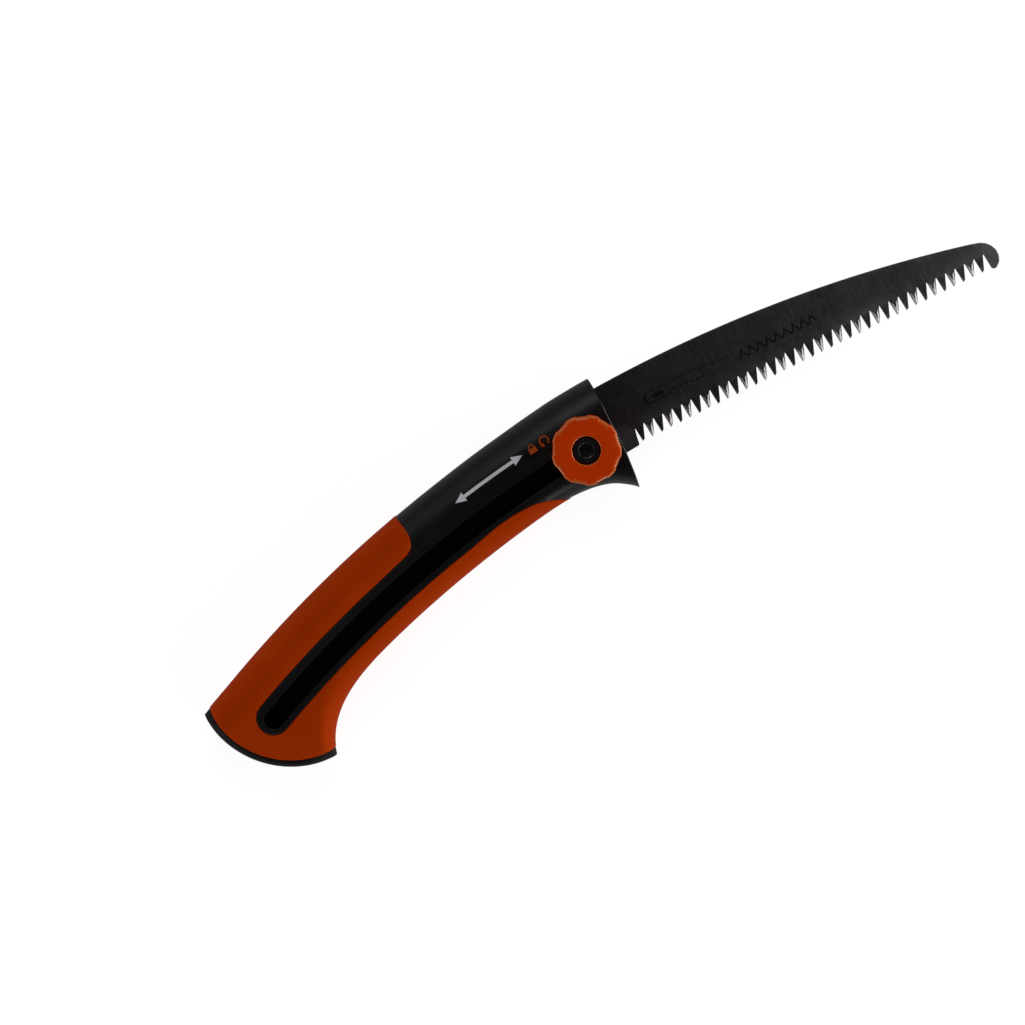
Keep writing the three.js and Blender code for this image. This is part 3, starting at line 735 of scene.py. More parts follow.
def facet_drop(x, y, parity):
    """Depth of the facets, ground into every second tooth from the one numbered parity."""
    drop = np.zeros(len(x))
    for tip, heel, facets in GROUND_TEETH[parity::2]:
        near = (x > tip[0] - 0.6) & (x < tip[0] + PITCH)
        spots = np.stack([x[near], y[near]], -1)
        deepest = np.zeros(len(spots))
        for base, along, inward, length in facets:
            t, depth = (spots - base) @ along, (spots - base) @ inward
            fade = np.clip((length - FACET_END - t) / RUNOUT, 0, 1)
            cut = 1 - np.clip(depth, 0, FACET_W) / np.maximum(FACET_W * fade, 1e-3)
            cut = np.where(depth < FACET_W + 0.01, cut, 0)
            cut = np.where((fade > 0) & (depth > -0.2), np.clip(cut, 0, 1) * fade, 0)
            deepest = np.maximum(deepest, cut)
        # the cut across the very tip
        along = unit(heel - tip)
        t = (spots - tip) @ along
        depth = (spots - tip) @ np.array([-along[1], along[0]])
        at_tip = (t > -0.1) & (t < np.linalg.norm(heel - tip) + 0.1)
        cut = np.where(at_tip, np.clip(1 - depth / (0.5 * FACET_W), 0, 1), 0)
        deepest = np.maximum(deepest, cut * (depth > -0.2) * (depth < FACET_W))
        drop[near] = np.maximum(drop[near], deepest)
    return FACET_DEPTH * drop


def blade():
    holes = [BLADE_BOLT_HOLE] + RIVET_HOLES
    lines = facet_ridges() + [offset_line(SPINE_LINE, SPINE_CHAMFER_W)]
    grid_x, grid_y = np.meshgrid(np.arange(-10, 174, 4.0), np.arange(-24, 20, 4.0))
    points = np.stack([grid_x.ravel(), grid_y.ravel()], -1)
    points = points[inside(*points.T, BLADE_OUTLINE)]
    points = points[points[:, 1] > -2.4 + TOOTH_SLOPE * (points[:, 0] - 20)]
    points = far_from(points, 1.0, [BLADE_OUTLINE])

    def classify(x, y):
        kept = inside(x, y, BLADE_OUTLINE)
        for hole in holes:
            kept &= ~inside(x, y, hole)
        return one_level(kept)

    def face(x, y, parity):
        near = np.clip(1 - distance(x, y, SPINE_LINE) / SPINE_CHAMFER_W, 0, 1)
        return BLADE_T / 2 - facet_drop(x, y, parity) - SPINE_CHAMFER_DEPTH * near

    return levelled("saw_blade", [BLADE_OUTLINE] + holes, classify,
                    [lambda x, y: face(x, y, 1)], [lambda x, y: -face(x, y, 0)], lines, points,
                    smooth_angle=12)


blade_ob = blade()

# ------------------------------------------------------------------ knob
WEB_Z0, WEB_Z1 = 26.95, 28.2        # web that the bolt's head rests on
KNOB_Z0, KNOB_Z1 = 24.6, 34.0
KNOB_R = 12.74
LOBES, KNOB_TURN = 9, math.radians(-33.4)
LOBE_HALF, LOBE_STEP = math.radians(9.4), math.radians(0.8)
LOBE_H = 0.66
# radius, z: bore and counterbore, top, rounded rim, side, lower edge, recess under the web
KNOB_PROFILE = [
    (3.05, WEB_Z0), (3.05, WEB_Z1), (5.35, WEB_Z1), (5.5, WEB_Z1 + 0.15), (5.5, 33.5),
    (5.58, 33.75), (5.78, 33.93), (6.05, KNOB_Z1), (7.5, KNOB_Z1), (9.0, KNOB_Z1),
    (10.6, KNOB_Z1), (11.7, 33.98), (12.05, 33.92), (12.3, 33.81), (12.5, 33.64),
    (12.64, 33.42), (12.72, 33.12), (KNOB_R, 32.4), (KNOB_R, 30.5), (KNOB_R, 29.0),
    (KNOB_R, 27.5), (KNOB_R, 26.2), (KNOB_R, 25.5), (12.66, 25.1), (12.45, 24.8),
    (12.1, KNOB_Z0), (10.5, KNOB_Z0), (10.25, 24.7), (10.2, 24.95), (10.2, WEB_Z0)]
RIB_TOP, RIB_SIDE, RIB_LOW, RIB_END = 9, 16, 23, 25     # profile rows where the lobes change


def lobe_height(turn):
    pitch = 2 * math.pi / LOBES
    lobe = (turn - KNOB_TURN) / pitch
    away = abs(lobe - round(lobe)) * pitch
    if away <= LOBE_HALF:
        return LOBE_H - 0.05 * (away / LOBE_HALF) ** 2
    if away <= LOBE_HALF + LOBE_STEP:
        s = (away - LOBE_HALF) / LOBE_STEP
        return 0.61 - 0.33 * (s * s * (3 - 2 * s))
    s = (away - LOBE_HALF - LOBE_STEP) / (pitch / 2 - LOBE_HALF - LOBE_STEP)
    return 0.28 - 0.16 * s * (2 - s)


def lobed(turn, radius, z, row):
    """A profile point with the lobes added: they grow over the rim and shrink at the foot."""
    if row < RIB_TOP or row > RIB_END:
        return radius, z
    height = lobe_height(turn)
    if row <= RIB_SIDE:
        grown = (row - RIB_TOP) / (RIB_SIDE - RIB_TOP)
        grown = grown * grown * (3 - 2 * grown)
        return radius + height * grown, z - 0.3 * (1 - height / LOBE_H) * min(1.0, 2.2 * grown)
    if row > RIB_LOW:
        return radius + height * 0.8, z
    return radius + height, z


def knob():
    n = LOBES * 72
    turns = np.arange(n) * 2 * math.pi / n
    verts, faces = [], []
    for row, (radius, z) in enumerate(KNOB_PROFILE):
        for t in turns:
            out, up = lobed(t, radius, z, row)
            verts.append((out * math.cos(t), out * math.sin(t), up))
    rows = len(KNOB_PROFILE)
    for k in range(rows):
        this, after = k * n, (k + 1) % rows * n
        for i in range(n):
            j = (i + 1) % n
            faces.append([this + i, this + j, after + j, after + i])
    return mesh_object("clamp_knob", verts, faces, smooth_angle=28)


knob_ob = knob()

# ------------------------------------------------------------------ clamp bolt with hexagon socket
BOLT_HEAD_R, BOLT_SHANK_R = 5.0, 2.9
BOLT_TOP_Z, BOLT_FOOT_Z = 32.7, 2.7
SOCKET_HALF, SOCKET_Z = 2.5, 30.0   # half the distance across flats, and the floor's height


def bolt():
    socket = circle((0, 0), SOCKET_HALF / math.cos(math.pi / 6), 6, math.radians(8))
    loops = [circle((0, 0), radius) for radius in (BOLT_HEAD_R, 4.93, 4.75, 4.45, BOLT_SHANK_R)]
    loops += [resample(socket, 0.5), circle((0, 0), 3.15, 48), circle((0, 0), 1.2, 24)]

    def classify(x, y):
        radius = np.hypot(x, y)
        return (radius < BOLT_HEAD_R, np.where(inside(x, y, socket), 1, 0),
                np.where(radius < BOLT_SHANK_R, 1, 0))

    def head(x, y):
        radius = np.hypot(x, y)
        z = BOLT_TOP_Z - edge_drop(BOLT_HEAD_R - radius, 0.5)
        return z - 0.25 * np.clip((3.15 - radius) / 0.35, 0, 1)

    def socket_floor(x, y):
        return SOCKET_Z - 0.9 * np.clip((1.6 - np.hypot(x, y)) / 1.6, 0, 1)

    return levelled("clamp_bolt_black", loops, classify, [head, socket_floor],
                    [flat(WEB_Z1 + 0.02), flat(BOLT_FOOT_Z)], base=0.0, smooth_angle=30)


bolt_ob = bolt()

# ------------------------------------------------------------------ shell screws, heads on the left
SCREW_HEAD_R, SCREW_SHANK_R = 2.7, 1.4
SCREW_TOP_Z, SCREW_END_Z = 8.5, -6.9
STAR_R, STAR_IN_R, STAR_FLOOR_Z = 1.55, 1.12, 7.3   # six-lobed drive


def screw_head(number, centre):
    star = []
    for j in range(12):
        t = j * math.pi / 6
        radius = STAR_IN_R if j % 2 else STAR_R
        star.append(centre + radius * np.array([math.cos(t), math.sin(t)]))
    star = catmull(star, 0.25, closed=True)
    radii = (SCREW_HEAD_R, 2.62, 2.4, 2.05, SCREW_SHANK_R)
    loops = [circle(centre, radius, 40) for radius in radii] + [star]

    def reach(x, y):
        return np.hypot(x - centre[0], y - centre[1])

    def classify(x, y):
        return (reach(x, y) < SCREW_HEAD_R, np.where(inside(x, y, star), 1, 0),
                np.where(reach(x, y) < SCREW_SHANK_R, 1, 0))

    def top(x, y):
        radius = reach(x, y)
        rim = 0.45 * (1 - quarter((SCREW_HEAD_R - radius) / 0.75))
        return SCREW_TOP_Z - rim - 0.02 * radius

    return levelled(f"shell_screw_head_{number}", loops, classify, [top, flat(STAR_FLOOR_Z)],
                    [flat(SCREW_SEAT_Z + 0.02), flat(SCREW_END_Z)], flip=True, smooth_angle=30)


screws = [screw_head(i + 1, centre) for i, centre in enumerate(SCREWS)]


# ------------------------------------------------------------------ printed and etched marks
def mark(name, polys, surface, lift, sink):
    """A thin layer on a surface. A polygon inside another one cuts a hole in it."""
    polys = [np.array(poly, float) for poly in polys]

    def classify(x, y):
        kept = np.zeros(len(x), bool)
        for poly in polys:
            kept ^= inside(x, y, poly)
        return one_level(kept)

    return levelled(name, [resample(poly, 0.8) for poly in polys], classify,
                    [lambda x, y: surface(x, y) + lift], [lambda x, y: surface(x, y) - sink],
                    smooth_angle=60)


def print_on_handle(name, polys):
    return mark(name, polys, skin, lift=0.03, sink=0.03)


def etch_on_blade(name, polys):
    return mark(name, polys, flat(BLADE_T / 2), lift=0.012, sink=0.02)


MARK_ANGLE, MARK_O = 6.25, 11.4     # where the row of prints starts


def along(points, shift=0.0):
    """Print coordinates to the plane: x runs along the handle towards the blade, y outwards."""
    return [track_point(MARK_ANGLE - track_angle(x), MARK_O + shift + y) for x, y in points]


def arc(centre_x, centre_y, radius, turns):
    return [(centre_x + radius * math.cos(t), centre_y + radius * math.sin(t)) for t in turns]


def arrow():
    """Double-headed arrow, its lower side mirrored from the upper one."""
    upper = [(4.2, 1.9), (4.2, 0.65)] + [(x, 0.65) for x in np.linspace(6, 25, 16)]
    upper += [(26.6, 0.65), (26.6, 1.9)]
    return [(0, 0)] + upper + [(30.8, 0)] + [(x, -y) for x, y in upper[::-1]]


def padlock():
    """Body and bow of a closed padlock."""
    mid, half, bow, bow_in, foot = 35.2, 1.55, 1.15, 0.68, 0.43
    body = [(mid - half, -1.75), (mid + half, -1.75), (mid + half, 0.35), (mid - half, 0.35)]
    ring = [(mid + bow, foot)] + arc(mid, 0.72, bow, np.linspace(0, math.pi, 14))
    ring += [(mid - bow, foot), (mid - bow_in, foot)]
    ring += arc(mid, 0.72, bow_in, np.linspace(math.pi, 0, 12)) + [(mid + bow_in, foot)]
    return [along(body, -0.1), along(ring, -0.1)]


def turning_arrow():
    """Open ring and the arrow head at its end."""
    mid, outer, inner, head_half, head_len = 40.6, 2.0, 1.42, 0.95, 1.5
    turns = np.radians(np.linspace(-60, 205, 36))
    ring = arc(mid, 0, outer, turns) + arc(mid, 0, inner, turns[::-1])
    end = math.radians(205)
    out = np.array([math.cos(end), math.sin(end)])
    ahead = np.array([-math.sin(end), math.cos(end)])
    centre = np.array([mid, 0]) + 1.71 * out
    head = [centre + head_half * out, centre + head_len * ahead, centre - head_half * out]
    return [along(ring), along([point + 0.04 * ahead for point in head])]


arrow_print = print_on_handle("slide_arrow_print", [along(arrow())])
symbol_print = print_on_handle("clamp_symbol_print", padlock() + turning_arrow())

LABEL_TURN, SCALE_TURN = math.radians(-4.5), math.radians(-9.5)


def place(centre_x, centre_y, points, turn=LABEL_TURN):
    c, s = math.cos(turn), math.sin(turn)
    return [[centre_x + c * x - s * y, centre_y + s * x + c * y] for x, y in points]


def round_rect(centre_x, centre_y, width, height, radius, n=8):
    points = []
    for side_x, side_y, start in ((1, 1, 0), (-1, 1, 90), (-1, -1, 180), (1, -1, 270)):
        turns = [math.radians(start + 90 * i / n) for i in range(n + 1)]
        points += arc(side_x * (width / 2 - radius), side_y * (height / 2 - radius), radius, turns)
    return place(centre_x, centre_y, points)


def stroke(points, width):
    """Outline of a line through points, with mitred corners."""
    points = np.array(points, float)
    sides = np.diff(points, axis=0)
    sides /= np.linalg.norm(sides, axis=1)[:, None]
    normals = np.stack([-sides[:, 1], sides[:, 0]], -1)
    mitres = [normals[0]]
    mitres += [(u + v) / (1 + u @ v) for u, v in zip(normals, normals[1:])]
    mitres = np.array(mitres + [normals[-1]]) * width / 2
    return np.concatenate([points + mitres, (points - mitres)[::-1]]).tolist()


def bars(x, y, count, pitch, width, heights):
    """A row of upright rectangles; the heights repeat."""
    row = []
    for i in range(count):
        left = i * pitch
        high = heights[i % len(heights)]
        box = [(left, 0.0), (left + width, 0.0), (left + width, high), (left, high)]
        row.append(place(x, y, box, SCALE_TURN))
    return row


leaf = place(34.6, 3.35, [(-3.2, 0.0), (-2.0, 0.75), (-0.4, 1.05), (1.4, 0.8), (3.2, 0.0),
                          (1.4, -0.8), (-0.4, -1.05), (-2.0, -0.75)])
zigzag = [(-0.6, 0.0)]
for i in range(9):
    zigzag += [(i * 3.7 + 0.35, 0.0), (i * 3.7 + 1.5, 2.9), (i * 3.7 + 3.3, 0.0)]
ticks = bars(41.0, 4.9, count=25, pitch=0.98, width=0.34, heights=[1.9] + [1.15] * 4)
dashes = bars(40.3, 1.9, count=6, pitch=2.4, width=1.5, heights=[0.55])
etchings = [
    etch_on_blade("blade_etch_frame", [round_rect(34.0, 3.4, 11.4, 4.4, 1.7), leaf,
                                       round_rect(34.5, 3.4, 9.8, 3.7, 1.45)]),
    etch_on_blade("blade_etch_teeth", [place(68.5, -1.75, stroke(zigzag, 0.62))]),
    etch_on_blade("blade_etch_scale", ticks + dashes)]


# ------------------------------------------------------------------ shader building
def rgb(r, g, b):
    return (r, g, b, 1.0)


class Shader:
    """A material with one Principled shader, and short calls that add nodes to it."""

    def __init__(self, name):
        self.material = bpy.data.materials.new(name)
        self.material.use_nodes = True
        self.tree = self.material.node_tree
        self.tree.nodes.clear()
        output = self.add("ShaderNodeOutputMaterial")
        self.principled = self.add("ShaderNodeBsdfPrincipled")
        self.put(output.inputs["Surface"], self.principled.outputs["BSDF"])
        self.coords = self.add("ShaderNodeTexCoord").outputs["Object"]

    def add(self, kind, **props):
        node = self.tree.nodes.new(kind)
        for key, value in props.items():
            setattr(node, key, value)
        return node

    def put(self, socket, value):
        """Links an output to the socket, or sets its value."""
        if isinstance(value, bpy.types.NodeSocket):
            self.tree.links.new(value, socket)
        else:
            socket.default_value = value

    def set(self, **values):
        for key, value in values.items():
            self.put(self.principled.inputs[key.replace("_", " ")], value)

    def noise(self, scale=1.0, detail=2.0, rough=0.5, stretch=None):
        coords = self.coords
        if stretch:
            mapping = self.add("ShaderNodeMapping")
            mapping.inputs["Scale"].default_value = stretch
            self.put(mapping.inputs["Vector"], coords)
            coords = mapping.outputs["Vector"]
        node = self.add("ShaderNodeTexNoise")
        self.put(node.inputs["Vector"], coords)
        node.inputs["Scale"].default_value = scale
        node.inputs["Detail"].default_value = detail
        node.inputs["Roughness"].default_value = rough
        return node.outputs["Fac"]

    def ramp(self, value, stops):
        node = self.add("ShaderNodeValToRGB")
        elements = node.color_ramp.elements
        while len(elements) > 1:
            elements.remove(elements[-1])
        elements[0].position, elements[0].color = stops[0]
        for position, colour in stops[1:]:
            elements.new(position).color = colour
        self.put(node.inputs["Fac"], value)
        return node.outputs["Color"]

    def span(self, value, between, give=(0, 1)):
        """Maps the range between to the range give, clamped."""
        node = self.add("ShaderNodeMapRange")
        for key, limits in (("From", between), ("To", give)):
            node.inputs[key + " Min"].default_value = limits[0]
            node.inputs[key + " Max"].default_value = limits[1]
        self.put(node.inputs["Value"], value)
        return node.outputs["Result"]

    def math(self, operation, first, second):
        node = self.add("ShaderNodeMath", operation=operation)
        self.put(node.inputs[0], first)
        self.put(node.inputs[1], second)
        return node.outputs[0]

    def mix(self, factor, first, second, blend="MIX"):
        node = self.add("ShaderNodeMix", data_type="RGBA", blend_type=blend)
        # sockets 6 and 7, and output 2, are the colour ones
        for socket, value in ((0, factor), (6, first), (7, second)):
            self.put(node.inputs[socket], value)
        return node.outputs[2]

    def bump(self, height, strength, distance):
        node = self.add("ShaderNodeBump")
        node.inputs["Strength"].default_value = strength
        node.inputs["Distance"].default_value = distance
        self.put(node.inputs["Height"], height)
        return node

    def chain(self, *bumps):
        for first, second in zip(bumps, bumps[1:]):
            self.put(second.inputs["Normal"], first.outputs["Normal"])
        self.set(Normal=bumps[-1].outputs["Normal"])

    def geometry(self, output):
        return self.add("ShaderNodeNewGeometry").outputs[output]

    def edges(self, between=(0.53, 0.6)):
        return self.span(self.geometry("Pointiness"), between)


# ------------------------------------------------------------------ materials
def plastic(name, base, light, rough, grain=5200, grain_depth=0.00001, scratch=0.25, wear=0.35,
            spec=0.4, tint=None, edge_light=None, glint=0.0):
    mat = Shader(name)
    big = mat.noise(scale=22, detail=3, rough=0.6)
    fine = mat.noise(scale=grain, rough=0.6)
    pits = mat.noise(scale=grain * 0.36, detail=1)
    colour = mat.mix(mat.span(big, between=(0.3, 0.7)), base, light)
    # fine handling scratches along the handle
    lines = mat.span(mat.noise(stretch=(60, 1500, 900), rough=0.6), between=(0.66, 0.70))
    patches = mat.span(mat.noise(scale=55), between=(0.5, 0.62), give=(0, scratch))
    scratches = mat.math("MULTIPLY", lines, patches)
    rubbed = mat.span(mat.noise(scale=240, detail=3, rough=0.6), between=(0.35, 0.65),
                      give=(0.15, wear))
    worn = mat.math("MULTIPLY", mat.edges(), rubbed)
    bare = edge_light or rgb(*[min(1, 2.6 * c + 0.012) for c in light[:3]])
    colour = mat.mix(mat.math("MAXIMUM", scratches, worn), colour, bare)
    roughness = mat.math("ADD", mat.span(big, between=(0.3, 0.7), give=rough),
                         mat.math("MULTIPLY", scratches, 0.25))
    roughness = mat.math("ADD", roughness,
                         mat.span(fine, between=(0.3, 0.7), give=(-0.03, 0.03)))
    mat.set(Base_Color=colour, Roughness=roughness, Specular_IOR_Level=spec)
    if tint:
        mat.set(Specular_Tint=tint)
    if glint:
        gloss_edges_paint_highlight(mat, colour, roughness, spec, tint, glint)
    mat.chain(mat.bump(fine, strength=0.55, distance=grain_depth),
              mat.bump(pits, strength=0.35, distance=grain_depth * 1.6),
              mat.bump(big, strength=0.15, distance=0.0002))
    return mat.material


def gloss_edges_paint_highlight(mat, colour, roughness, spec, tint, glint):
    """Makes the surfaces that turn away from +z smoother and glossier, and paints a highlight on
    them as a paler base colour.
    """
    split = mat.add("ShaderNodeSeparateXYZ")
    mat.put(split.inputs[0], mat.geometry("True Normal"))
    up = split.outputs["Z"]
    turned = mat.math("MULTIPLY", mat.span(up, between=(0.97, 0.86)),
                      mat.span(up, between=(0.15, 0.35)))
    # painted highlight: the base colour pales where the surface turns away from +z; the whiter
    # specular tint, higher specular and lower roughness are real gloss
    mat.set(Base_Color=mat.mix(mat.math("MULTIPLY", turned, 0.8), colour, rgb(0.76, 0.17, 0.010)),
            Specular_Tint=mat.mix(turned, tint, rgb(1.0, 0.9, 0.8)),
            Specular_IOR_Level=mat.span(turned, between=(0, 1), give=(spec, glint)),
            Roughness=mat.math("SUBTRACT", roughness, mat.math("MULTIPLY", turned, 0.12)))


def elastomer(name, base, dark, light, rough=0.6):
    mat = Shader(name)
    big = mat.noise(scale=26, detail=4, rough=0.6)
    medium = mat.noise(scale=260, detail=3, rough=0.6)
    cells = mat.add("ShaderNodeTexVoronoi")
    cells.inputs["Scale"].default_value = 2300
    mat.put(cells.inputs["Vector"], mat.coords)
    fine = mat.noise(scale=4200, rough=0.6)
    colour = mat.mix(mat.span(big, between=(0.3, 0.7)), base, light)
    # painted shade: darker in the concave creases
    crease_shade = mat.span(mat.geometry("Pointiness"), between=(0.47, 0.40), give=(0, 0.6))
    colour = mat.mix(crease_shade, colour, dark)
    smudge = mat.math("MULTIPLY", mat.span(medium, between=(0.5, 0.75), give=(0, 0.10)),
                      mat.span(big, between=(0.5, 0.7)))
    colour = mat.mix(smudge, colour, dark)
    colour = mat.mix(mat.math("MULTIPLY", mat.edges(between=(0.53, 0.62)), 0.3), colour, light)
    mat.set(Base_Color=colour, Specular_IOR_Level=0.06, Specular_Tint=rgb(1.0, 0.30, 0.05),
            Roughness=mat.span(medium, between=(0.3, 0.7), give=(rough - 0.05, rough + 0.06)))
    mat.chain(mat.bump(cells.outputs["Distance"], strength=0.45, distance=0.00003),
              mat.bump(fine, strength=0.4, distance=0.000012),
              mat.bump(big, strength=0.12, distance=0.0003))
    return mat.material


def steel_blade(name):
    mat = Shader(name)
    lines = mat.noise(stretch=(4300, 210, 300), detail=3, rough=0.7)
    broad = mat.noise(stretch=(1500, 120, 100), detail=3, rough=0.65)
    cloud = mat.noise(scale=70, detail=4, rough=0.6)
    spots = mat.noise(scale=1500)
    colour = mat.ramp(lines, [(0.3, rgb(0.165, 0.155, 0.167)), (0.5, rgb(0.22, 0.208, 0.222)),
                              (0.72, rgb(0.33, 0.317, 0.332))])
    colour = mat.mix(mat.span(cloud, between=(0.3, 0.7), give=(0, 0.55)), colour,
                     rgb(0.150, 0.136, 0.147))
    colour = mat.mix(mat.span(broad, between=(0.58, 0.74), give=(0, 0.45)), colour,
                     rgb(0.46, 0.445, 0.46))
    # small bright specks and a faint resin bloom
    colour = mat.mix(mat.span(spots, between=(0.745, 0.775), give=(0, 0.8)), colour,
                     rgb(0.9, 0.9, 0.9))
    resin = mat.noise(scale=420, detail=3, rough=0.6)
    bloom = mat.math("MULTIPLY", mat.span(resin, between=(0.58, 0.7), give=(0, 0.35)),
                     mat.span(cloud, between=(0.45, 0.6)))
    colour = mat.mix(bloom, colour, rgb(0.12, 0.10, 0.10))
    edge = mat.math("MULTIPLY", mat.edges(between=(0.52, 0.58)), 0.5)
    colour = mat.mix(edge, colour, rgb(0.66, 0.64, 0.64))
    # painted shade: the blade's colour darkens towards the handle, where the blade looks dim
    split = mat.add("ShaderNodeSeparateXYZ")
    mat.put(split.inputs[0], mat.coords)
    shade = mat.span(split.outputs["X"], between=(0.02, 0.15), give=(0.42, 1.0))
    grey = mat.add("ShaderNodeCombineColor")
    for i in range(3):
        mat.put(grey.inputs[i], shade)
    colour = mat.mix(1.0, colour, grey.outputs[0], blend="MULTIPLY")
    roughness = mat.math("ADD", mat.span(lines, between=(0.25, 0.75), give=(0.28, 0.42)),
                         mat.span(cloud, between=(0.3, 0.7), give=(-0.04, 0.05)))
    # highlights stretch relative to the blade's length
    axis = mat.add("ShaderNodeCombineXYZ")
    axis.inputs[0].default_value = 1.0
    axis.inputs[1].default_value = -0.09
    to_world = mat.add("ShaderNodeVectorTransform", vector_type="VECTOR",
                       convert_from="OBJECT", convert_to="WORLD")
    mat.put(to_world.inputs[0], axis.outputs[0])
    mat.set(Base_Color=colour, Metallic=1.0, Roughness=roughness, Anisotropic=0.5,
            Tangent=to_world.outputs[0])
    mat.chain(mat.bump(lines, strength=0.5, distance=0.000012),
              mat.bump(broad, strength=0.35, distance=0.00002))
    return mat.material


def bright_steel(name, base=(0.62, 0.61, 0.6), rough=0.24, metallic=1.0):
    mat = Shader(name)
    lines = mat.noise(stretch=(900, 5200, 3000), detail=3, rough=0.6)
    cloud = mat.noise(scale=90, detail=3)
    colour = mat.mix(mat.span(lines, between=(0.3, 0.7)), rgb(*[c * 0.82 for c in base]),
                     rgb(*[min(1, c * 1.1) for c in base]))
    roughness = mat.math(
        "ADD", mat.span(lines, between=(0.3, 0.7), give=(rough - 0.05, rough + 0.08)),
        mat.span(cloud, between=(0.3, 0.7), give=(-0.03, 0.05)))
    mat.set(Base_Color=colour, Metallic=metallic, Roughness=roughness)
    mat.chain(mat.bump(lines, strength=0.4, distance=0.00001))
    return mat.material


def ink(name, colour, rough=0.55, gaps=0.75):
    """Slightly uneven ink."""
    mat = Shader(name)
    uneven = mat.noise(scale=1800, detail=3, rough=0.6)
    mat.set(Base_Color=mat.mix(mat.span(uneven, between=(0.3, 0.6), give=(0, gaps)),
                               rgb(*[c * 0.82 for c in colour]), rgb(*colour)),
            Roughness=rough, Specular_IOR_Level=0.15)
    mat.chain(mat.bump(uneven, strength=0.3, distance=0.00001))
    return mat.material


BLACK = plastic("satin_black_nylon", base=rgb(0.0042, 0.0034, 0.0036),
                light=rgb(0.0068, 0.0057, 0.0060), rough=(0.31, 0.40), spec=0.3)
CAP = plastic("cap_black_nylon", base=rgb(0.0038, 0.0030, 0.0030),
              light=rgb(0.0055, 0.0046, 0.0046), rough=(0.42, 0.55), grain=4200, spec=0.12)
SLIDE = plastic("slide_acetal", base=rgb(0.008, 0.008, 0.0085),
                light=rgb(0.011, 0.011, 0.0115), rough=(0.3, 0.4))
PAD = elastomer("orange_elastomer", base=rgb(0.52, 0.0425, 0.0007),
                dark=rgb(0.10, 0.010, 0.001), light=rgb(0.59, 0.0515, 0.0009))
KNOB = plastic("orange_nylon", base=rgb(0.73, 0.0440, 0.0007), light=rgb(0.80, 0.0510, 0.0009),
               rough=(0.34, 0.44), grain=3800, grain_depth=0.000014, wear=0.3, scratch=0.15,
               spec=0.45, tint=rgb(1.0, 0.45, 0.15), edge_light=rgb(1.0, 0.20, 0.05), glint=1.0)
BLADE = steel_blade("hard_chrome_brushed")
GROUND = bright_steel("ground_facets", base=(0.60, 0.585, 0.57), rough=0.46, metallic=0.45)
ZINC = bright_steel("zinc_plated")
SPRING = bright_steel("spring_steel", base=(0.38, 0.37, 0.36), rough=0.3)
OXIDE = plastic("black_oxide", base=rgb(0.006, 0.006, 0.007), light=rgb(0.010, 0.010, 0.011),
                rough=(0.2, 0.28), grain=6000, wear=0.5, spec=0.45)
WHITE_INK = ink("white_print", colour=(0.93, 0.95, 0.99), gaps=1.0)
ORANGE_INK = ink("orange_print", colour=(0.55, 0.085, 0.006))
ETCH = ink("etched_dark", colour=(0.0035, 0.003, 0.0032), rough=0.7)


def dress(ob, material, body, slot_name, *nodes):
    ob.data.materials.clear()
    ob.data.materials.append(material)
    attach(ob, body)
    if nodes:
        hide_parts(*nodes)


def dress_facets():
    """Gives the sloping faces of the teeth the ground steel."""
    blade_ob.data.materials.append(GROUND)
    for face in blade_ob.data.polygons:
        x, y = face.center.x / MM, face.center.y / MM
        by_teeth = 17.5 < x < 172 and y < 2.0 + TOOTH_SLOPE * (x - TOOTH_X)
        if by_teeth and 0.45 < abs(face.normal.z) < 0.93:
            face.material_index = 1


dress(right_shell, BLACK, "handle", "handle_black", "right_shell")
dress(left_shell, BLACK, "handle", "handle_black", "left_shell")
dress(right_grip, PAD, "handle", "grip_orange", "right_grip")
dress(left_grip, PAD, "handle", "grip_orange", "left_grip")
dress(cap, CAP, "handle", "cap_black", "end_cap")
for i, ob in enumerate(screws):
    dress(ob, ZINC, "handle", "zinc_steel", f"shell_screw_{i + 1}")
dress(blade_ob, BLADE, "blade_carriage", "blade_steel", "blade")
dress_facets()
dress(knob_ob, KNOB, "knob_set", "knob_orange", "knob")
dress(bolt_ob, OXIDE, "knob_set", "black_oxide", "clamp_bolt")
dress(arrow_print, WHITE_INK, "handle", "handle_black")
dress(symbol_print, ORANGE_INK, "handle", "handle_black")
for ob in etchings:
    dress(ob, ETCH, "blade_carriage", "blade_steel")

# pieces of the CAD that keep their own mesh
KEPT = [(SLIDE, ["carriage_right", "carriage_left", "slide_shoe"]),
        (ZINC, ["carriage_nut", "tang_rivet_1", "tang_rivet_2", "tang_rivet_3",
                "thrust_washer"]),
        (SPRING, ["wave_spring", "retaining_clip"])]
for material, names in KEPT:
    for name in names:
        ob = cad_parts[name]
        if not ob.material_slots:
            ob.data.materials.append(None)
        for slot in ob.material_slots:
            slot.material = material

# ------------------------------------------------------------------ floor and world
FLOOR_HALF, FLOOR_Z = 4.0, -0.0004  # metres
# grey of the surface and its own glow, as the camera sees it and as it lights the saw
FLOOR_SEEN = {"grey": 0.34, "glow": 0.90}
FLOOR_LIGHT = {"grey": 0.45, "glow": 0.16}


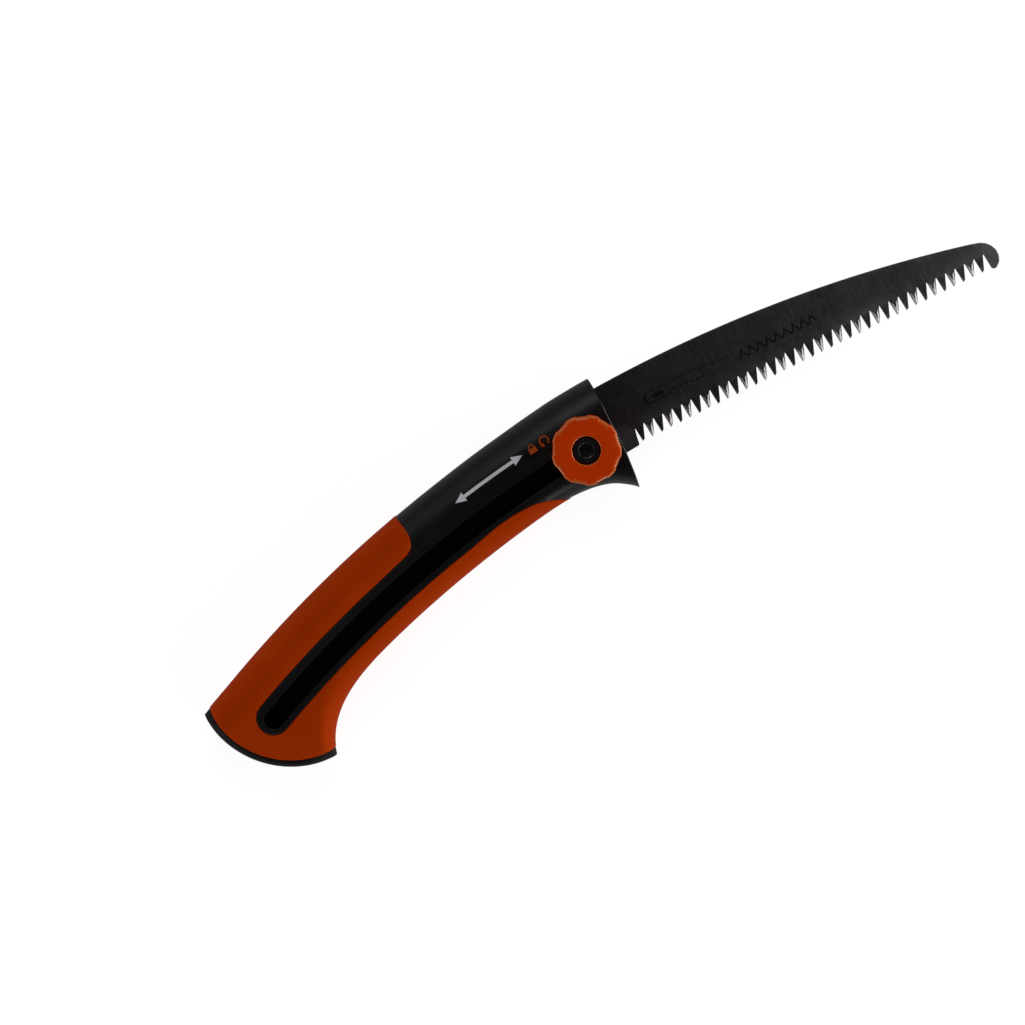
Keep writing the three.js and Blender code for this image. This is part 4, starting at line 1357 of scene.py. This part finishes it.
def floor_material():
    """Lit sheet that is clear from below."""
    material = bpy.data.materials.new("pale_floor")
    material.use_nodes = True
    nodes, link = material.node_tree.nodes, material.node_tree.links.new
    nodes.clear()

    def sheet(grey, glow):
        diffuse = nodes.new("ShaderNodeBsdfDiffuse")
        diffuse.inputs["Color"].default_value = rgb(grey, grey, grey)
        emission = nodes.new("ShaderNodeEmission")
        emission.inputs["Strength"].default_value = glow
        both = nodes.new("ShaderNodeAddShader")
        link(diffuse.outputs[0], both.inputs[0])
        link(emission.outputs[0], both.inputs[1])
        return both.outputs[0]

    def mix(factor, first, second):
        node = nodes.new("ShaderNodeMixShader")
        for i, source in enumerate((factor, first, second)):
            link(source, node.inputs[i])
        return node.outputs[0]

    seen, other = sheet(**FLOOR_SEEN), sheet(**FLOOR_LIGHT)
    camera_ray = nodes.new("ShaderNodeLightPath").outputs["Is Camera Ray"]
    from_below = nodes.new("ShaderNodeNewGeometry").outputs["Backfacing"]
    clear = nodes.new("ShaderNodeBsdfTransparent").outputs[0]
    output = nodes.new("ShaderNodeOutputMaterial")
    link(mix(from_below, mix(camera_ray, other, seen), clear), output.inputs["Surface"])
    return material


def floor():
    mesh = bpy.data.meshes.new("floor")
    corners = [(-1, -1), (1, -1), (1, 1), (-1, 1)]
    mesh.from_pydata([(x * FLOOR_HALF, y * FLOOR_HALF, FLOOR_Z) for x, y in corners], [],
                     [[0, 1, 2, 3]])
    ob = bpy.data.objects.new("floor", mesh)
    bpy.context.scene.collection.objects.link(ob)
    mesh.materials.append(floor_material())


def studio_world():
    """Dim grey surroundings that get darker upwards; the camera sees an even pale grey."""
    world = bpy.data.worlds.new("studio")
    bpy.context.scene.world = world
    world.use_nodes = True
    nodes, link = world.node_tree.nodes, world.node_tree.links.new
    nodes.clear()
    output = nodes.new("ShaderNodeOutputWorld")
    around = nodes.new("ShaderNodeBackground")
    around.inputs["Strength"].default_value = 1.0
    seen = nodes.new("ShaderNodeBackground")
    seen.inputs["Color"].default_value = rgb(0.93, 0.93, 0.93)
    coords = nodes.new("ShaderNodeTexCoord")
    split = nodes.new("ShaderNodeSeparateXYZ")
    ramp = nodes.new("ShaderNodeValToRGB")
    stops = ramp.color_ramp.elements
    stops[0].position, stops[0].color = 0.0, rgb(0.18, 0.18, 0.185)
    stops[1].position, stops[1].color = 1.0, rgb(0.03, 0.03, 0.033)
    for height, grey in ((0.30, 0.17), (0.55, 0.15), (0.85, 0.12), (0.95, 0.06)):
        stops.new(height).color = rgb(grey, grey, grey * 1.03)
    path = nodes.new("ShaderNodeLightPath")
    mix = nodes.new("ShaderNodeMixShader")
    link(coords.outputs["Generated"], split.inputs[0])
    link(split.outputs["Z"], ramp.inputs["Fac"])
    link(ramp.outputs["Color"], around.inputs["Color"])
    link(path.outputs["Is Camera Ray"], mix.inputs["Fac"])
    link(around.outputs[0], mix.inputs[1])
    link(seen.outputs[0], mix.inputs[2])
    link(mix.outputs[0], output.inputs["Surface"])


floor()
studio_world()

# ------------------------------------------------------------------ lights and camera
LIGHT_TARGET = Vector((-0.01, -0.01, 0.01))     # metres


def softbox(name, side, elevation, reach, size, power):
    """Area light towards side (x, y), reach metres from the origin, aimed at the saw."""
    light = bpy.data.lights.new(name, "AREA")
    light.shape = "RECTANGLE"
    light.size, light.size_y = size
    light.energy = power
    ob = bpy.data.objects.new(name, light)
    bpy.context.scene.collection.objects.link(ob)
    x, y = side
    level = math.hypot(x, y)
    tilt = math.radians(elevation)
    where = Vector((x / level * math.cos(tilt), y / level * math.cos(tilt), math.sin(tilt))) * reach
    ob.location = where
    ob.rotation_euler = (LIGHT_TARGET - where).to_track_quat("-Z", "Y").to_euler()


softbox("key_softbox", side=(0.30, 1.0), elevation=50, reach=0.95, size=(0.5, 0.4), power=1.25)
softbox("spine_softbox", side=(-0.2, 0.98), elevation=27, reach=0.9, size=(1.0, 0.30), power=0.34)
softbox("tip_strip", side=(0.95, -0.28), elevation=14, reach=0.95, size=(0.5, 0.22), power=2.7)
softbox("finger_strip", side=(0.30, -1.0), elevation=17, reach=0.95, size=(0.9, 0.24), power=2.3)
softbox("butt_strip", side=(-1.0, 0.0), elevation=12, reach=0.95, size=(0.5, 0.22), power=1.6)

ROLL = math.radians(-31.435)        # turn of the view about z
LEAN = math.radians(3.5)            # the camera stands a little towards the top of the view
VIEW_W = 394.625                    # width of the view at the aim point
AIM = Vector((-37.03 * MM, -6.55 * MM, MID_Z * MM))


def camera():
    data = bpy.data.cameras.new("camera")
    ob = bpy.data.objects.new("camera", data)
    bpy.context.scene.collection.objects.link(ob)
    data.lens = 180
    data.sensor_width = 36
    data.clip_start, data.clip_end = 0.05, 20
    reach = VIEW_W * MM * data.lens / data.sensor_width
    view_up = Vector((-math.sin(ROLL), math.cos(ROLL), 0))
    ob.location = AIM + reach * (math.sin(LEAN) * view_up + math.cos(LEAN) * Vector((0, 0, 1)))
    turn = Matrix.Rotation(ROLL, 3, "Z") @ Matrix.Rotation(-LEAN, 3, "X")
    ob.rotation_euler = turn.to_euler()
    bpy.context.scene.camera = ob


camera()
bpy.context.scene.view_settings.view_transform = "Standard"
